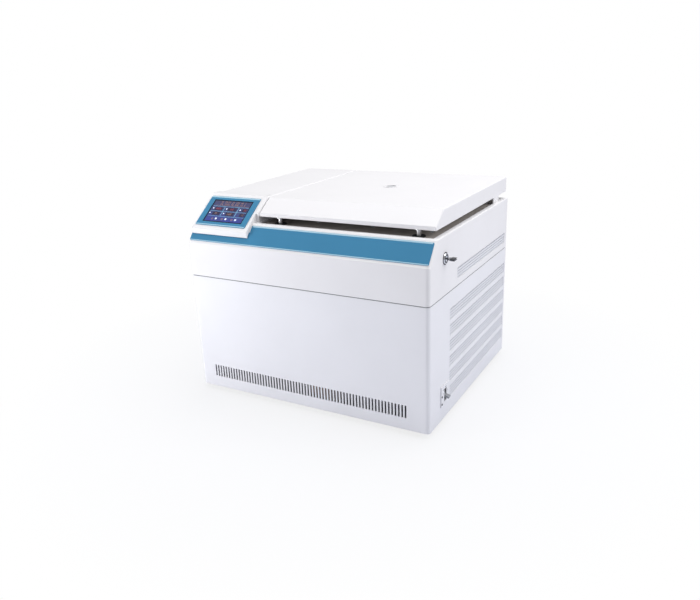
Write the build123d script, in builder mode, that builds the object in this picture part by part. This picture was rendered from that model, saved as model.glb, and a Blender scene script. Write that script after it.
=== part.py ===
from build123d import *
from math import cos, degrees, hypot, pi, radians, sin, tan
import os

os.makedirs("parts", exist_ok=True)

# Refrigerated benchtop centrifuge, in millimetres.
# X runs to the right seen from the front, Y to the back and Z up.
# The origin is on the bench, under the middle of the casing.

# Casing
body_w = 620.0
body_d = 519.0
foot_h = 12.0
foot_r = 19.0
foot_inset = 55.0
foot_taper = 6.0
seam_h = 289.0
seam_gap = 1.6
front_wall_h = 369.3
bevel_run = 39.2
bevel_rise = 48.5
corner_r = 9.0
edge_r = 2.5
cabinet_wall = 2.0
housing_wall = 3.0
seat = 0.3

# Lid
lid_gap = 14.1
lid_h = 37.4
lid_lip_h = 8.2
lid_front_set = 58.9
lid_crease_set = 101.0
lid_overhang = 16.0
lid_axis_set = 214.0
lid_right_inset = 9.6
lid_wall = 2.5
lid_edge_r = 3.5
lid_tab_back = 86.0
lid_tab_len = 41.0
lid_tab_gap = 0.5
liner_t = 2.0
liner_back_set = 41.0
liner_disc_r = 138.0
liner_disc_t = 5.0
port_r = 19.0
port_bore_r = 13.0
port_tube_r = 15.0
port_rim_h = 1.0
port_pane_t = 3.0

# Fixed cover beside the lid
cover_gap = 2.2
cover_left_inset = 10.0

# Hinge
hinge_x_offset = 150.0
hinge_rise = 32.2
hinge_pin_r = 4.0
hinge_pin_len = 34.0
hinge_ear_t = 6.0
hinge_ear_r = 10.0
hinge_lug_t = 5.0
hinge_side_gap = 0.5
hinge_fit = 0.05
hinge_run_fit = 0.08
hinge_foot_w = 44.0
hinge_foot_len = 40.0
hinge_foot_t = 4.0
hinge_notch_gap = 2.0
hinge_notch_h = 29.0
arm_plate_t = 3.0
arm_plate_len = 46.0
lug_r = 9.0

# Deck and chamber
deck_front_set = 52.0
deck_back_set = 39.0
deck_side_lap = 3.0
deck_flange = 8.0
deck_t = 2.0
axis_side_set = 232.0
guard_back_gap = 17.5
bowl_r = 150.0
bowl_wall = 1.5
bowl_depth = 190.0
bowl_floor_r = 30.0
bowl_rim_w = 13.0
coil_t = 6.0
foam_t = 22.0
sleeve_gap = 0.2
guard_t = 8.0
collar_h = 8.0
drain_set = 95.0
frame_t = 4.0
post_w = 25.0
post_set = 50.0
post_edge = 20.0
seal_w = 12.0
seal_lip_w = 5.0
spindle_hole_r = 21.0

# Drive and rotor
spindle_r = 11.0
spindle_cone_h = 30.0
spindle_tip_r = 8.0
stud_r = 6.0
bearing_r = 20.0
bearing_h = 14.0
bearing_fit = 0.08
rotor_base_rise = 22.0
rotor_h = 92.0
rotor_r = 112.0
rotor_top_r = 88.0
rotor_skirt_h = 24.0
rotor_lip_w = 5.0
rotor_hub_r = 24.0
rotor_chamfer = 4.0
pocket_count = 6
pocket_r = 14.75
pocket_depth = 70.0
pocket_tilt = 28.0
pocket_top_r = 60.0
mouth_clear = 4.0
bore_gap = 0.1
nut_r = 22.0
nut_h = 20.0
stud_set = 4.0
nut_grip_count = 6
motor_r = 76.0
motor_h = 140.0
motor_cap_h = 12.0
shaft_depth = 44.0
shaft_end_gap = 4.0
damper_r = 14.0
damper_count = 4
damper_taper = 8.0
damper_h = 26.0
damper_ring_r = 84.0
mount_plate_t = 4.0

# Latches
latch_spacing = 344.0
latch_axis_set = 8.0
latch_set = 70.0
strike_r = 5.0
strike_len = 34.0
strike_flange_r = 9.0
strike_flange_t = 2.0
strike_neck_r = 3.0
strike_neck_h = 7.0
strike_head_h = 5.0
hook_t = 4.0
hook_reach = 26.0
hook_slot_gap = 1.0
hook_tine = 5.0
hook_hub_r = 9.0
hook_pin_r = 3.0
hook_swing = 32.0
hook_back_angle = 25.0
hook_tip_angle = 10.0
bracket_w = 40.0
bracket_t = 3.0
bracket_reach = 30.0
socket_r = 14.0
socket_h = 2.4
socket_travel = 4.0
socket_bore_gap = 1.2
latch_motor_r = 12.0
latch_motor_h = 34.0

# Trim, control pod and screen
strip_low = 6.5
strip_high = 57.0
strip_end_inset = 3.0
strip_t = 1.0
pod_side_inset = 5.3
pod_lid_gap = 6.0
pod_front_set = 13.5
pod_gap = 3.5
pod_plinth_set = 24.0
pod_face_h = 16.3
pod_brow = 7.0
pod_slope_set = 20.5
pod_slope = 36.5
pod_t = 7.0
pod_back_set = 126.0
pod_top_rise = 0.8
pod_draft = 8.0
bezel_side_gap = 5.7
bezel_lean_gap = 12.0
bezel_len = 91.0
bezel_t = 1.6
bezel_low = 0.6
bezel_band = 15.0
screen_low = 11.2
screen_len = 70.0
screen_recess = 0.8
screen_t = 2.0

# Front slots
slot_count = 66
slot_pitch = 8.0
slot_w = 4.0
slot_low = 28.0
slot_high = 58.0
slot_centre_x = -5.0

# Side vents
band_count = 6
band_pitch = 37.0
band_h = 26.5
band_top = 247.6
band_front_set = 116.0
band_back_set = 10.0
band_depth = 1.2
band_slots = 14
band_slot_share = 0.72
band_slot_h = 15.0
upper_band_low = 303.8
upper_band_high = 329.3
upper_band_front_set = 158.0
upper_band_back_set = 16.0
screen_sheet_t = 1.0
screen_margin = 5.0

# Key lock
lock_set = 85.0
lock_h = 369.3
lock_ring_r = 11.7
lock_ring_t = 3.0
lock_ring_taper = 15.0
lock_barrel_r = 8.5
lock_barrel_len = 24.0
lock_plug_r = 5.5
lock_fit = 0.08
key_t = 2.2
key_bow_r = 9.0
key_eye_r = 3.0
key_neck_len = 5.0
key_neck_w = 7.0
cam_len = 26.0
cam_w = 12.0
cam_t = 2.5

# Mains switch
switch_set = 87.0
switch_h = 58.0
switch_w = 48.0
switch_plate_h = 50.0
switch_plate_t = 2.5
switch_corner = 3.0
switch_body_d = 56.0
switch_body_h = 44.0
switch_body_w = 30.0
lever_w = 10.0
lever_len = 19.0
lever_t = 5.0
lever_pivot_r = 2.0
lever_slot_h = 26.0
lever_mouth_w = 11.2
lever_hub_r = 5.0
lever_rest_angle = 15.0

# Base and machinery bay
base_t = 2.0
base_flange_h = 12.0
base_inset = 1.0
air_hole_r = 9.0
air_hole_ring_r = 40.0
air_hole_count = 6
compressor_side_set = 120.0
compressor_back_set = 119.0
compressor_r = 70.0
compressor_h = 170.0
compressor_foot_t = 3.0
compressor_foot_lap = 6.0
compressor_dome_r = 24.0
grommet_r = 11.0
grommet_h = 16.0
condenser_side_set = 35.0
condenser_front_set = 55.0
condenser_back_set = 224.0
condenser_t = 44.0
condenser_h = 210.0
fin_count = 15
fin_margin = 10.0
fan_share = 0.35
fan_hub_r = 24.0
fan_blades = 5
fan_depth = 22.0
blade_chord = 30.0
blade_t = 2.0
blade_pitch = 35.0
blade_root = 4.0
fan_tip_gap = 5.0
shroud_t = 30.0
shroud_edge = 24.0
shroud_bar_w = 14.0
shroud_bar_t = 3.0
shroud_seat_w = 4.0
fan_motor_r = 22.0
fan_motor_len = 42.0
fan_shaft_r = 3.0
drive_axis_set = 72.0
drive_w = 120.0
drive_d = 60.0
drive_h = 150.0
drive_set = 60.0
drive_fins = 8
drive_fin_d = 24.0
transformer_axis_set = 58.0
transformer_w = 76.0
transformer_d = 60.0
transformer_h = 64.0
winding_set = 8.0
winding_less_w = 20.0
winding_corner = 6.0
board_t = 1.6
board_h = 64.0
board_gap = 6.0
board_side_gap = 11.0
board_rise = 44.0
board_peg_set = 6.0
board_peg_r = 3.5
chip_w = 24.0
chip_t = 8.0
chip_left = 30.0
chip_right = 34.0
chip_rise = 6.0
line_r = 4.0
line_bend = 22.0
line_rise = 40.0
drain_r = 6.0
drain_stub = 10.0
drain_wall = 1.5
drain_bend = 30.0
sensor_r = 3.0
sensor_len = 10.0
sensor_flange_w = 3.0
sensor_flange_t = 2.0
inlet_w = 34.0
inlet_h = 28.0
inlet_side_set = 100.0
inlet_up = 60.0
inlet_depth = 18.0
inlet_lip_t = 2.0
inlet_corner = 3.0
inlet_wall = 4.0
inlet_chamfer = 5.0
pin_rise = 3.0
pin_set = 7.0
pin_w = 2.0
pin_h = 5.0
pin_inset = 3.0
rear_panel_t = 1.5
rear_slot_count = 14
rear_slot_pitch = 12.0
rear_slot_w = 5.0
rear_slot_h = 130.0

# Places that follow from the sizes
front_y = -body_d / 2
back_y = body_d / 2
side_x = body_w / 2
case_z = foot_h
seam_z = case_z + seam_h
bevel_z = case_z + front_wall_h
deck_z = bevel_z + bevel_rise
bevel_len = hypot(bevel_run, bevel_rise)
lid_z = deck_z + lid_gap
lid_top_z = lid_z + lid_h
axis_x = side_x - axis_side_set
lid_x_left = axis_x - lid_axis_set
lid_x_right = side_x - lid_right_inset
lid_w = lid_x_right - lid_x_left
lid_centre_x = (lid_x_left + lid_x_right) / 2
lid_front_y = front_y + lid_front_set
lid_back_y = back_y + lid_overhang
plate_z = deck_z - housing_wall
deck_x_left = lid_x_left + deck_side_lap
deck_x_right = lid_x_right - deck_side_lap
deck_front_y = front_y + deck_front_set
deck_back_y = back_y - deck_back_set
base_z = case_z
floor_z = base_z + base_t
bowl_floor_z = plate_z - bowl_depth
jacket_r = bowl_r + bowl_wall
foam_r = jacket_r + coil_t + foam_t
guard_r = foam_r + guard_t
axis_y = back_y - guard_back_gap - guard_r
jacket_floor_z = bowl_floor_z - bowl_wall - foam_t
rotor_z = bowl_floor_z + rotor_base_rise
hinge_z = deck_z + hinge_rise
hinge_y = back_y
latch_y = front_y + latch_set
latch_centre_x = axis_x + latch_axis_set
latch_xs = (latch_centre_x - latch_spacing / 2, latch_centre_x + latch_spacing / 2)
pod_left = -side_x + pod_side_inset
pod_right = lid_x_left - pod_lid_gap
bezel_left = pod_left + bezel_side_gap
bezel_w = pod_right - bezel_lean_gap - bezel_left
screen_w = bezel_w - 2 * bezel_band
compressor_x = -side_x + compressor_side_set
compressor_y = back_y - compressor_back_set
condenser_x = -side_x + condenser_side_set
condenser_w = body_d - condenser_front_set - condenser_back_set
condenser_y = front_y + condenser_front_set + condenser_w / 2
fan_r = condenser_w * fan_share
drive_x = axis_x + drive_axis_set
transformer_x = axis_x - transformer_axis_set
inlet_x = side_x - inlet_side_set
rear_slot_x = compressor_x


def bevel_plane(along):
    """Plane on the sloping front, its X along the casing and Z outwards."""
    up = along / bevel_len
    origin = (0, front_y + bevel_run * up, bevel_z + bevel_rise * up)
    return Plane(origin=origin, x_dir=(1, 0, 0), z_dir=(0, -bevel_rise, bevel_run))


# Base tray, folded up all round
with BuildPart() as base_plate:
    tray_w = body_w - 2 * (cabinet_wall + base_inset)
    tray_d = body_d - 2 * (cabinet_wall + base_inset)
    with BuildSketch(Plane.XY.offset(base_z)):
        RectangleRounded(tray_w, tray_d, corner_r - cabinet_wall)
    extrude(amount=base_t + base_flange_h)
    with BuildSketch(Plane.XY.offset(floor_z)):
        RectangleRounded(tray_w - 2 * base_t, tray_d - 2 * base_t, corner_r - cabinet_wall - base_t)
    extrude(amount=base_flange_h, mode=Mode.SUBTRACT)
    with BuildSketch(Plane.XY.offset(base_z)):
        with Locations((axis_x, axis_y)):
            with PolarLocations(air_hole_ring_r, air_hole_count):
                Circle(air_hole_r)
    extrude(amount=base_t, mode=Mode.SUBTRACT)
base_plate.part.label = "base_plate"
export_step(base_plate.part, "parts/base_plate.step")

# Rubber feet at the corners and a centre rest under the drive
with BuildPart() as feet:
    with BuildSketch(Plane.XY):
        with GridLocations(body_w - 2 * foot_inset, body_d - 2 * foot_inset, 2, 2):
            Circle(foot_r)
        Circle(foot_r)
    extrude(amount=foot_h, taper=foot_taper)
feet.part.label = "feet"
export_step(feet.part, "parts/feet.step")

# Lower cabinet: one sheet wrapped round the front and both sides
band_len = body_d - band_front_set - band_back_set
band_mid_y = (band_front_set - band_back_set) / 2
band_mid_z = case_z + band_top - band_h / 2 - band_pitch * (band_count - 1) / 2
cabinet_h = seam_z - seam_gap - case_z
with BuildPart() as lower_cabinet:
    with BuildSketch(Plane.XY.offset(case_z)) as wrap:
        Rectangle(body_w, body_d)
        fillet(wrap.vertices().group_by(Axis.Y)[0], radius=corner_r)
        with BuildSketch(mode=Mode.PRIVATE) as hollow:
            with Locations((0, cabinet_wall)):
                Rectangle(body_w - 2 * cabinet_wall, body_d)
            fillet(hollow.vertices().group_by(Axis.Y)[0], radius=corner_r - cabinet_wall)
        add(hollow.sketch, mode=Mode.SUBTRACT)
    extrude(amount=cabinet_h)
    slot_mid_z = case_z + (slot_low + slot_high) / 2
    with BuildSketch(Plane.XZ.offset(-front_y)):
        with Locations((slot_centre_x, slot_mid_z)):
            with GridLocations(slot_pitch, 0, slot_count, 1):
                Rectangle(slot_w, slot_high - slot_low)
    extrude(amount=-2 * cabinet_wall, mode=Mode.SUBTRACT)
    with BuildSketch(Plane.YZ.offset(-side_x)):
        with Locations((band_mid_y, band_mid_z)):
            with GridLocations(0, band_pitch, 1, band_count):
                Rectangle(band_len, band_h)
    extrude(amount=body_w, mode=Mode.SUBTRACT)
    switch_y = front_y + switch_set
    switch_z = case_z + switch_h
    with BuildSketch(Plane.YZ.offset(side_x)):
        with Locations((switch_y, switch_z)):
            Rectangle(switch_body_w + 2, switch_body_h + 2)
    extrude(amount=-2 * cabinet_wall, mode=Mode.SUBTRACT)
lower_cabinet.part.label = "lower_cabinet"
export_step(lower_cabinet.part, "parts/lower_cabinet.step")

# Vent screens behind the six windows of each side
screen_h = band_pitch * (band_count - 1) + band_h + 2 * screen_margin
slot_len = band_len / band_slots
for side, label in ((1, "vent_screen_right"), (-1, "vent_screen_left")):
    inner_x = side * (side_x - cabinet_wall)
    with BuildPart() as vent_screen:
        with BuildSketch(Plane.YZ.offset(inner_x)):
            with Locations((band_mid_y, band_mid_z)):
                Rectangle(band_len + 2 * screen_margin, screen_h)
        extrude(amount=-side * screen_sheet_t)
        with BuildSketch(Plane.YZ.offset(inner_x)):
            with Locations((band_mid_y, band_mid_z)):
                with GridLocations(0, band_pitch, 1, band_count):
                    Rectangle(band_len - 2 * seat, band_h - 2 * seat)
        extrude(amount=side * (cabinet_wall - band_depth))
        with BuildSketch(Plane.YZ.offset(side * side_x)):
            with Locations((band_mid_y, band_mid_z)):
                with GridLocations(slot_len, band_pitch, band_slots, band_count):
                    Rectangle(slot_len * band_slot_share, band_slot_h)
        extrude(amount=-side * 3 * cabinet_wall, mode=Mode.SUBTRACT)
    vent_screen.part.label = label
    export_step(vent_screen.part, f"parts/{label}.step")

# Rear panel with louvre slots and the mains inlet cut-out
inlet_z = case_z + inlet_up
panel_w = body_w - 2 * cabinet_wall - 2 * seat
with BuildPart() as rear_panel:
    with BuildSketch(Plane.XZ.offset(-back_y)):
        with Locations((0, case_z + cabinet_h / 2)):
            Rectangle(panel_w, cabinet_h)
    extrude(amount=rear_panel_t)
    with BuildSketch(Plane.XZ.offset(-back_y)):
        with Locations((rear_slot_x, case_z + cabinet_h / 2)):
            with GridLocations(rear_slot_pitch, 0, rear_slot_count, 1):
                SlotCenterToCenter(rear_slot_h - rear_slot_w, rear_slot_w, rotation=90)
        with Locations((inlet_x, inlet_z)):
            Rectangle(inlet_w, inlet_h)
        with Locations((axis_x - drain_set, inlet_z)):
            Circle(drain_r + seat)
    extrude(amount=rear_panel_t, mode=Mode.SUBTRACT)
rear_panel.part.label = "rear_panel"
export_step(rear_panel.part, "parts/rear_panel.step")

# Upper housing: a moulded shell with the sloping front
with BuildPart() as upper_housing:
    with BuildSketch(Plane.YZ.offset(-side_x)):
        with BuildLine():
            Polyline(
                (front_y, seam_z),
                (front_y, bevel_z),
                (front_y + bevel_run, deck_z),
                (back_y, deck_z),
                (back_y, seam_z),
                close=True,
            )
        make_face()
    extrude(amount=body_w)
    upright = upper_housing.edges().filter_by(Axis.Z).group_by(Axis.Y)[0]
    slanted = upper_housing.edges().filter_by(lambda e: abs(e.tangent_at(0).X) < 0.1).filter_by(
        lambda e: abs(e.tangent_at(0).Y) > 0.3 and abs(e.tangent_at(0).Z) > 0.3
    )
    fillet(upright + slanted, radius=corner_r)
    fillet(upper_housing.faces().sort_by(Axis.Z)[-1].edges(), radius=edge_r)
    bottom = upper_housing.faces().sort_by(Axis.Z)[0]
    offset(amount=-housing_wall, openings=bottom)
    with BuildSketch(Plane.XY.offset(deck_z)):
        with Locations(((deck_x_left + deck_x_right) / 2, (deck_front_y + deck_back_y) / 2)):
            Rectangle(deck_x_right - deck_x_left, deck_back_y - deck_front_y)
    extrude(amount=-2 * housing_wall, mode=Mode.SUBTRACT)
    upper_mid_y = (upper_band_front_set - upper_band_back_set) / 2
    upper_mid_z = case_z + (upper_band_low + upper_band_high) / 2
    upper_len = body_d - upper_band_front_set - upper_band_back_set
    upper_h = upper_band_high - upper_band_low
    with BuildSketch(Plane.YZ.offset(-side_x)):
        with Locations((upper_mid_y, upper_mid_z)):
            Rectangle(upper_len, upper_h)
    extrude(amount=body_w, mode=Mode.SUBTRACT)
    lock_y = front_y + lock_set
    lock_z = case_z + lock_h
    with BuildSketch(Plane.YZ.offset(side_x)):
        with Locations((lock_y, lock_z)):
            Circle(lock_barrel_r + seat)
    extrude(amount=-2 * housing_wall, mode=Mode.SUBTRACT)
upper_housing.part.label = "upper_housing"
export_step(upper_housing.part, "parts/upper_housing.step")

# Upper vent screens behind the long window of each side
with BuildPart() as upper_screens:
    for side in (1, -1):
        inner_x = side * (side_x - housing_wall)
        with BuildSketch(Plane.YZ.offset(inner_x)):
            with Locations((upper_mid_y, upper_mid_z)):
                Rectangle(upper_len + 2 * screen_margin, upper_h + 0.6 * screen_margin)
        extrude(amount=-side * screen_sheet_t)
        with BuildSketch(Plane.YZ.offset(inner_x)):
            with Locations((upper_mid_y, upper_mid_z)):
                Rectangle(upper_len - 2 * seat, upper_h - 2 * seat)
        extrude(amount=side * (housing_wall - band_depth))
    with BuildSketch(Plane.YZ.offset(-side_x)):
        with Locations((upper_mid_y, upper_mid_z)):
            with GridLocations(upper_len / band_slots, 0, band_slots, 1):
                Rectangle(upper_len / band_slots * 0.72, band_slot_h)
    extrude(amount=body_w, mode=Mode.SUBTRACT)
upper_screens.part.label = "upper_screens"
export_step(upper_screens.part, "parts/upper_screens.step")

# Deck plate under the lid, with the chamber mouth and the two latch mouths
with BuildPart() as deck_plate:
    with BuildSketch(Plane.XY.offset(plate_z)):
        with Locations(((deck_x_left + deck_x_right) / 2, (deck_front_y + deck_back_y) / 2)):
            Rectangle(
                deck_x_right - deck_x_left + 2 * deck_flange,
                deck_back_y - deck_front_y + 2 * deck_flange,
            )
        with Locations((axis_x, axis_y)):
            Circle(jacket_r + seat, mode=Mode.SUBTRACT)
        with Locations(*[(x, latch_y) for x in latch_xs]):
            Circle(socket_r - 2, mode=Mode.SUBTRACT)
    extrude(amount=-deck_t)
deck_plate.part.label = "deck_plate"
export_step(deck_plate.part, "parts/deck_plate.step")

# Blue strip on the sloping front
strip_w = body_w - 2 * strip_end_inset
with BuildPart() as front_strip:
    with BuildSketch(bevel_plane((strip_low + strip_high) / 2)) as strip_face:
        Rectangle(strip_w, strip_high - strip_low)
        fillet(strip_face.vertices(), radius=3)
    extrude(amount=strip_t)
    with BuildSketch(Plane.YZ.offset(pod_left - seat)):
        with BuildLine():
            Polyline(
                (front_y + pod_plinth_set - seat, seam_z),
                (front_y + pod_plinth_set - seat, lid_top_z),
                (front_y + pod_back_set, lid_top_z),
                (front_y + pod_back_set, seam_z),
                close=True,
            )
        make_face()
    extrude(amount=pod_right - pod_left + 2 * seat, mode=Mode.SUBTRACT)
front_strip.part.label = "front_strip"
export_step(front_strip.part, "parts/front_strip.step")

# Places of the control pod
pod_front_y = front_y + pod_front_set
pod_low_z = bevel_z + bevel_rise * pod_front_set / bevel_run
pod_plinth_y = front_y + pod_plinth_set
pod_plinth_z = bevel_z + bevel_rise * pod_plinth_set / bevel_run
pod_crest_z = lid_top_z + pod_top_rise
pod_brow_z = pod_low_z + pod_face_h + pod_brow
pod_rise = tan(radians(pod_slope))
pod_slope_y = front_y + pod_slope_set
pod_top_y = pod_slope_y + (pod_crest_z - pod_brow_z) / pod_rise
pod_under_z = pod_brow_z - pod_t / cos(radians(pod_slope))
pod_saddle_y = pod_slope_y + (lid_top_z + seat - pod_under_z) / pod_rise
pod_plane = Plane(
    origin=(bezel_left + bezel_w / 2, pod_slope_y, pod_brow_z),
    x_dir=(1, 0, 0),
    z_dir=(0, -sin(radians(pod_slope)), cos(radians(pod_slope))),
)
bezel_mid = bezel_low + bezel_len / 2
screen_mid = screen_low + screen_len / 2
pod_lean = Plane(
    origin=(pod_right, 0, pod_low_z),
    x_dir=(0, 1, 0),
    z_dir=(pod_crest_z - pod_low_z, 0, pod_draft),
)

# Fixed cover beside the lid, with the same lip, slope and top
cover_x_left = -side_x + cover_left_inset
cover_x_right = lid_x_left - cover_gap
with BuildPart() as side_cover:
    with BuildSketch(Plane.YZ.offset(cover_x_left)):
        with BuildLine():
            Polyline(
                (lid_front_y, deck_z),
                (lid_front_y, lid_z + lid_lip_h),
                (front_y + lid_crease_set, lid_top_z),
                (lid_back_y, lid_top_z),
                (lid_back_y, lid_z),
                (back_y - edge_r - 1, lid_z),
                (back_y - edge_r - 1, deck_z),
                close=True,
            )
        make_face()
    extrude(amount=cover_x_right - cover_x_left)
    top_faces = side_cover.faces().filter_by(lambda f: f.normal_at().Z > 0.5)
    fillet(top_faces.edges().filter_by(lambda e: abs(e.tangent_at(0).X) < 0.1), radius=lid_edge_r)
    bottom = side_cover.faces().filter_by(Axis.Z).sort_by(Axis.Z)[0]
    offset(amount=-lid_wall, openings=bottom)
    with BuildPart(mode=Mode.SUBTRACT):
        with BuildSketch(Plane.YZ.offset(cover_x_left - seat)):
            with BuildLine():
                Polyline(
                    (pod_slope_y, pod_under_z - seat),
                    (pod_slope_y, pod_crest_z),
                    (pod_saddle_y, pod_crest_z),
                    (pod_saddle_y, lid_top_z),
                    close=True,
                )
            make_face()
        extrude(amount=pod_right + seat - cover_x_left + seat)
        split(bisect_by=pod_lean.offset(seat), keep=Keep.BOTTOM)
side_cover.part.label = "side_cover"
export_step(side_cover.part, "parts/side_cover.step")

# Control pod: a wedge saddled over the slope and the front of the fixed cover
with BuildPart() as pod_housing:
    with BuildSketch(Plane.YZ.offset(pod_left)):
        with BuildLine():
            Polyline(
                (pod_plinth_y, pod_plinth_z + seat),
                (pod_plinth_y, pod_plinth_z + pod_gap),
                (pod_front_y, pod_low_z + pod_gap),
                (pod_front_y, pod_low_z + pod_face_h),
                (pod_slope_y, pod_brow_z),
                (pod_top_y, pod_crest_z),
                (front_y + pod_back_set, pod_crest_z),
                (front_y + pod_back_set, lid_top_z + seat),
                (pod_saddle_y, lid_top_z + seat),
                (lid_front_y - seat, pod_under_z + (lid_front_y - seat - pod_slope_y) * pod_rise),
                (lid_front_y - seat, deck_z + seat),
                (front_y + bevel_run, deck_z + seat),
                close=True,
            )
        make_face()
    extrude(amount=pod_right - pod_left)
    split(bisect_by=pod_lean, keep=Keep.BOTTOM)
    with BuildSketch(pod_plane):
        with Locations((0, screen_mid)):
            Rectangle(screen_w + 2 * seat, screen_len + 2 * seat)
    extrude(amount=-screen_t, mode=Mode.SUBTRACT)
pod_housing.part.label = "pod_housing"
export_step(pod_housing.part, "parts/pod_housing.step")

with BuildPart() as pod_bezel:
    with BuildSketch(pod_plane):
        with Locations((0, bezel_mid)):
            RectangleRounded(bezel_w, bezel_len, 2)
        with Locations((0, screen_mid)):
            Rectangle(screen_w, screen_len, mode=Mode.SUBTRACT)
    extrude(amount=bezel_t)
pod_bezel.part.label = "pod_bezel"
export_step(pod_bezel.part, "parts/pod_bezel.step")

with BuildPart() as touch_screen:
    with BuildSketch(pod_plane.offset(bezel_t - screen_recess - screen_t)):
        with Locations((0, screen_mid)):
            Rectangle(screen_w - 2 * seat, screen_len - 2 * seat)
    extrude(amount=screen_t)
touch_screen.part.label = "touch_screen"
export_step(touch_screen.part, "parts/touch_screen.step")

# Control board on four spacers behind the front wall
with BuildPart() as control_board:
    board_w = bezel_w - board_side_gap
    board_x = (pod_left + pod_right) / 2
    board_z = seam_z + board_rise
    with BuildSketch(Plane.XZ.offset(-front_y - housing_wall)):
        with Locations((board_x, board_z)):
            with GridLocations(board_w - 2 * board_peg_set, board_h - 2 * board_peg_set, 2, 2):
                Circle(board_peg_r)
    extrude(amount=-board_gap)
    with BuildSketch(Plane.XZ.offset(-front_y - housing_wall - board_gap)):
        with Locations((board_x, board_z)):
            Rectangle(board_w, board_h)
    extrude(amount=-board_t)
    with BuildSketch(Plane.XZ.offset(-front_y - housing_wall - board_gap - board_t)):
        with Locations((board_x - chip_left, board_z), (board_x + chip_right, board_z + chip_rise)):
            Rectangle(chip_w, chip_w)
    extrude(amount=-chip_t)
control_board.part.label = "control_board"
export_step(control_board.part, "parts/control_board.step")

# Chamber bowl with its rim and an upturned collar round the spindle
with BuildPart() as chamber_bowl:
    with BuildSketch(Plane.XZ.offset(-axis_y)):
        with BuildLine():
            rim_z = plate_z + bowl_wall
            turn = bowl_floor_r
            Polyline(
                (axis_x + bowl_r, bowl_floor_z + turn),
                (axis_x + bowl_r, rim_z),
                (axis_x + bowl_r + bowl_wall + bowl_rim_w, rim_z),
                (axis_x + bowl_r + bowl_wall + bowl_rim_w, plate_z),
                (axis_x + jacket_r, plate_z),
                (axis_x + jacket_r, bowl_floor_z + turn),
            )
            RadiusArc(
                (axis_x + jacket_r, bowl_floor_z + turn),
                (axis_x + bowl_r - turn, bowl_floor_z - bowl_wall),
                turn + bowl_wall,
            )
            Polyline(
                (axis_x + bowl_r - turn, bowl_floor_z - bowl_wall),
                (axis_x + spindle_hole_r, bowl_floor_z - bowl_wall),
                (axis_x + spindle_hole_r, bowl_floor_z + collar_h),
                (axis_x + spindle_hole_r + bowl_wall, bowl_floor_z + collar_h),
                (axis_x + spindle_hole_r + bowl_wall, bowl_floor_z),
                (axis_x + bowl_r - turn, bowl_floor_z),
            )
            RadiusArc(
                (axis_x + bowl_r - turn, bowl_floor_z),
                (axis_x + bowl_r, bowl_floor_z + turn),
                -turn,
            )
        make_face()
    revolve(axis=Axis((axis_x, axis_y, 0), (0, 0, 1)))
    with BuildSketch(Plane.XY.offset(bowl_floor_z)):
        with Locations((axis_x - drain_set, axis_y)):
            Circle(drain_r - drain_wall)
    extrude(amount=-2 * bowl_wall, mode=Mode.SUBTRACT)
chamber_bowl.part.label = "chamber_bowl"
export_step(chamber_bowl.part, "parts/chamber_bowl.step")


def ring_at(plane, outer, inner):
    """Ring sketch about the rotor axis, used for every round layer of the chamber."""
    with BuildSketch(plane) as ring:
        with Locations((axis_x, axis_y)):
            Circle(outer)
            Circle(inner, mode=Mode.SUBTRACT)
    return ring.sketch


# Evaporator sleeve wound on the bowl
with BuildPart() as evaporator:
    sleeve_z = bowl_floor_z + bowl_floor_r + 6
    add(ring_at(Plane.XY.offset(sleeve_z), jacket_r + coil_t - sleeve_gap, jacket_r + sleeve_gap))
    extrude(amount=plate_z - deck_t - 20 - sleeve_z)
evaporator.part.label = "evaporator"
export_step(evaporator.part, "parts/evaporator.step")

# Foam jacket round the bowl and under its floor
with BuildPart() as foam_jacket:
    add(ring_at(Plane.XY.offset(jacket_floor_z), foam_r, spindle_hole_r + 3))
    extrude(amount=foam_t - seat)
    add(ring_at(Plane.XY.offset(jacket_floor_z + foam_t - seat), foam_r, jacket_r + coil_t))
    extrude(amount=plate_z - deck_t - jacket_floor_z - foam_t + seat)
    with BuildSketch(Plane.XY.offset(jacket_floor_z)):
        with Locations((axis_x - drain_set, axis_y)):
            Circle(drain_r + seat)
    extrude(amount=foam_t, mode=Mode.SUBTRACT)
foam_jacket.part.label = "foam_jacket"
export_step(foam_jacket.part, "parts/foam_jacket.step")

# Steel guard ring that would hold a burst rotor
with BuildPart() as guard_ring:
    add(ring_at(Plane.XY.offset(jacket_floor_z), guard_r, foam_r + sleeve_gap))
    extrude(amount=plate_z - deck_t - jacket_floor_z)
guard_ring.part.label = "guard_ring"
export_step(guard_ring.part, "parts/guard_ring.step")

# Frame plate on four posts, carrying the chamber
with BuildPart() as support_frame:
    frame_w = 2 * guard_r + 8
    post_pitch = frame_w - post_w - post_edge
    with BuildSketch(Plane.XY.offset(jacket_floor_z)):
        with Locations((axis_x, axis_y)):
            RectangleRounded(frame_w, frame_w, 20)
            Circle(spindle_hole_r + 20, mode=Mode.SUBTRACT)
        with Locations((axis_x - drain_set, axis_y)):
            Circle(drain_r + 2, mode=Mode.SUBTRACT)
    extrude(amount=-frame_t)
    with BuildSketch(Plane.XY.offset(jacket_floor_z - frame_t)):
        with Locations((axis_x, axis_y)):
            with GridLocations(post_pitch, post_pitch - 2 * post_set, 2, 2):
                Rectangle(post_w, post_w)
    extrude(amount=-(jacket_floor_z - frame_t - floor_z))
support_frame.part.label = "support_frame"
export_step(support_frame.part, "parts/support_frame.step")

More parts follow.
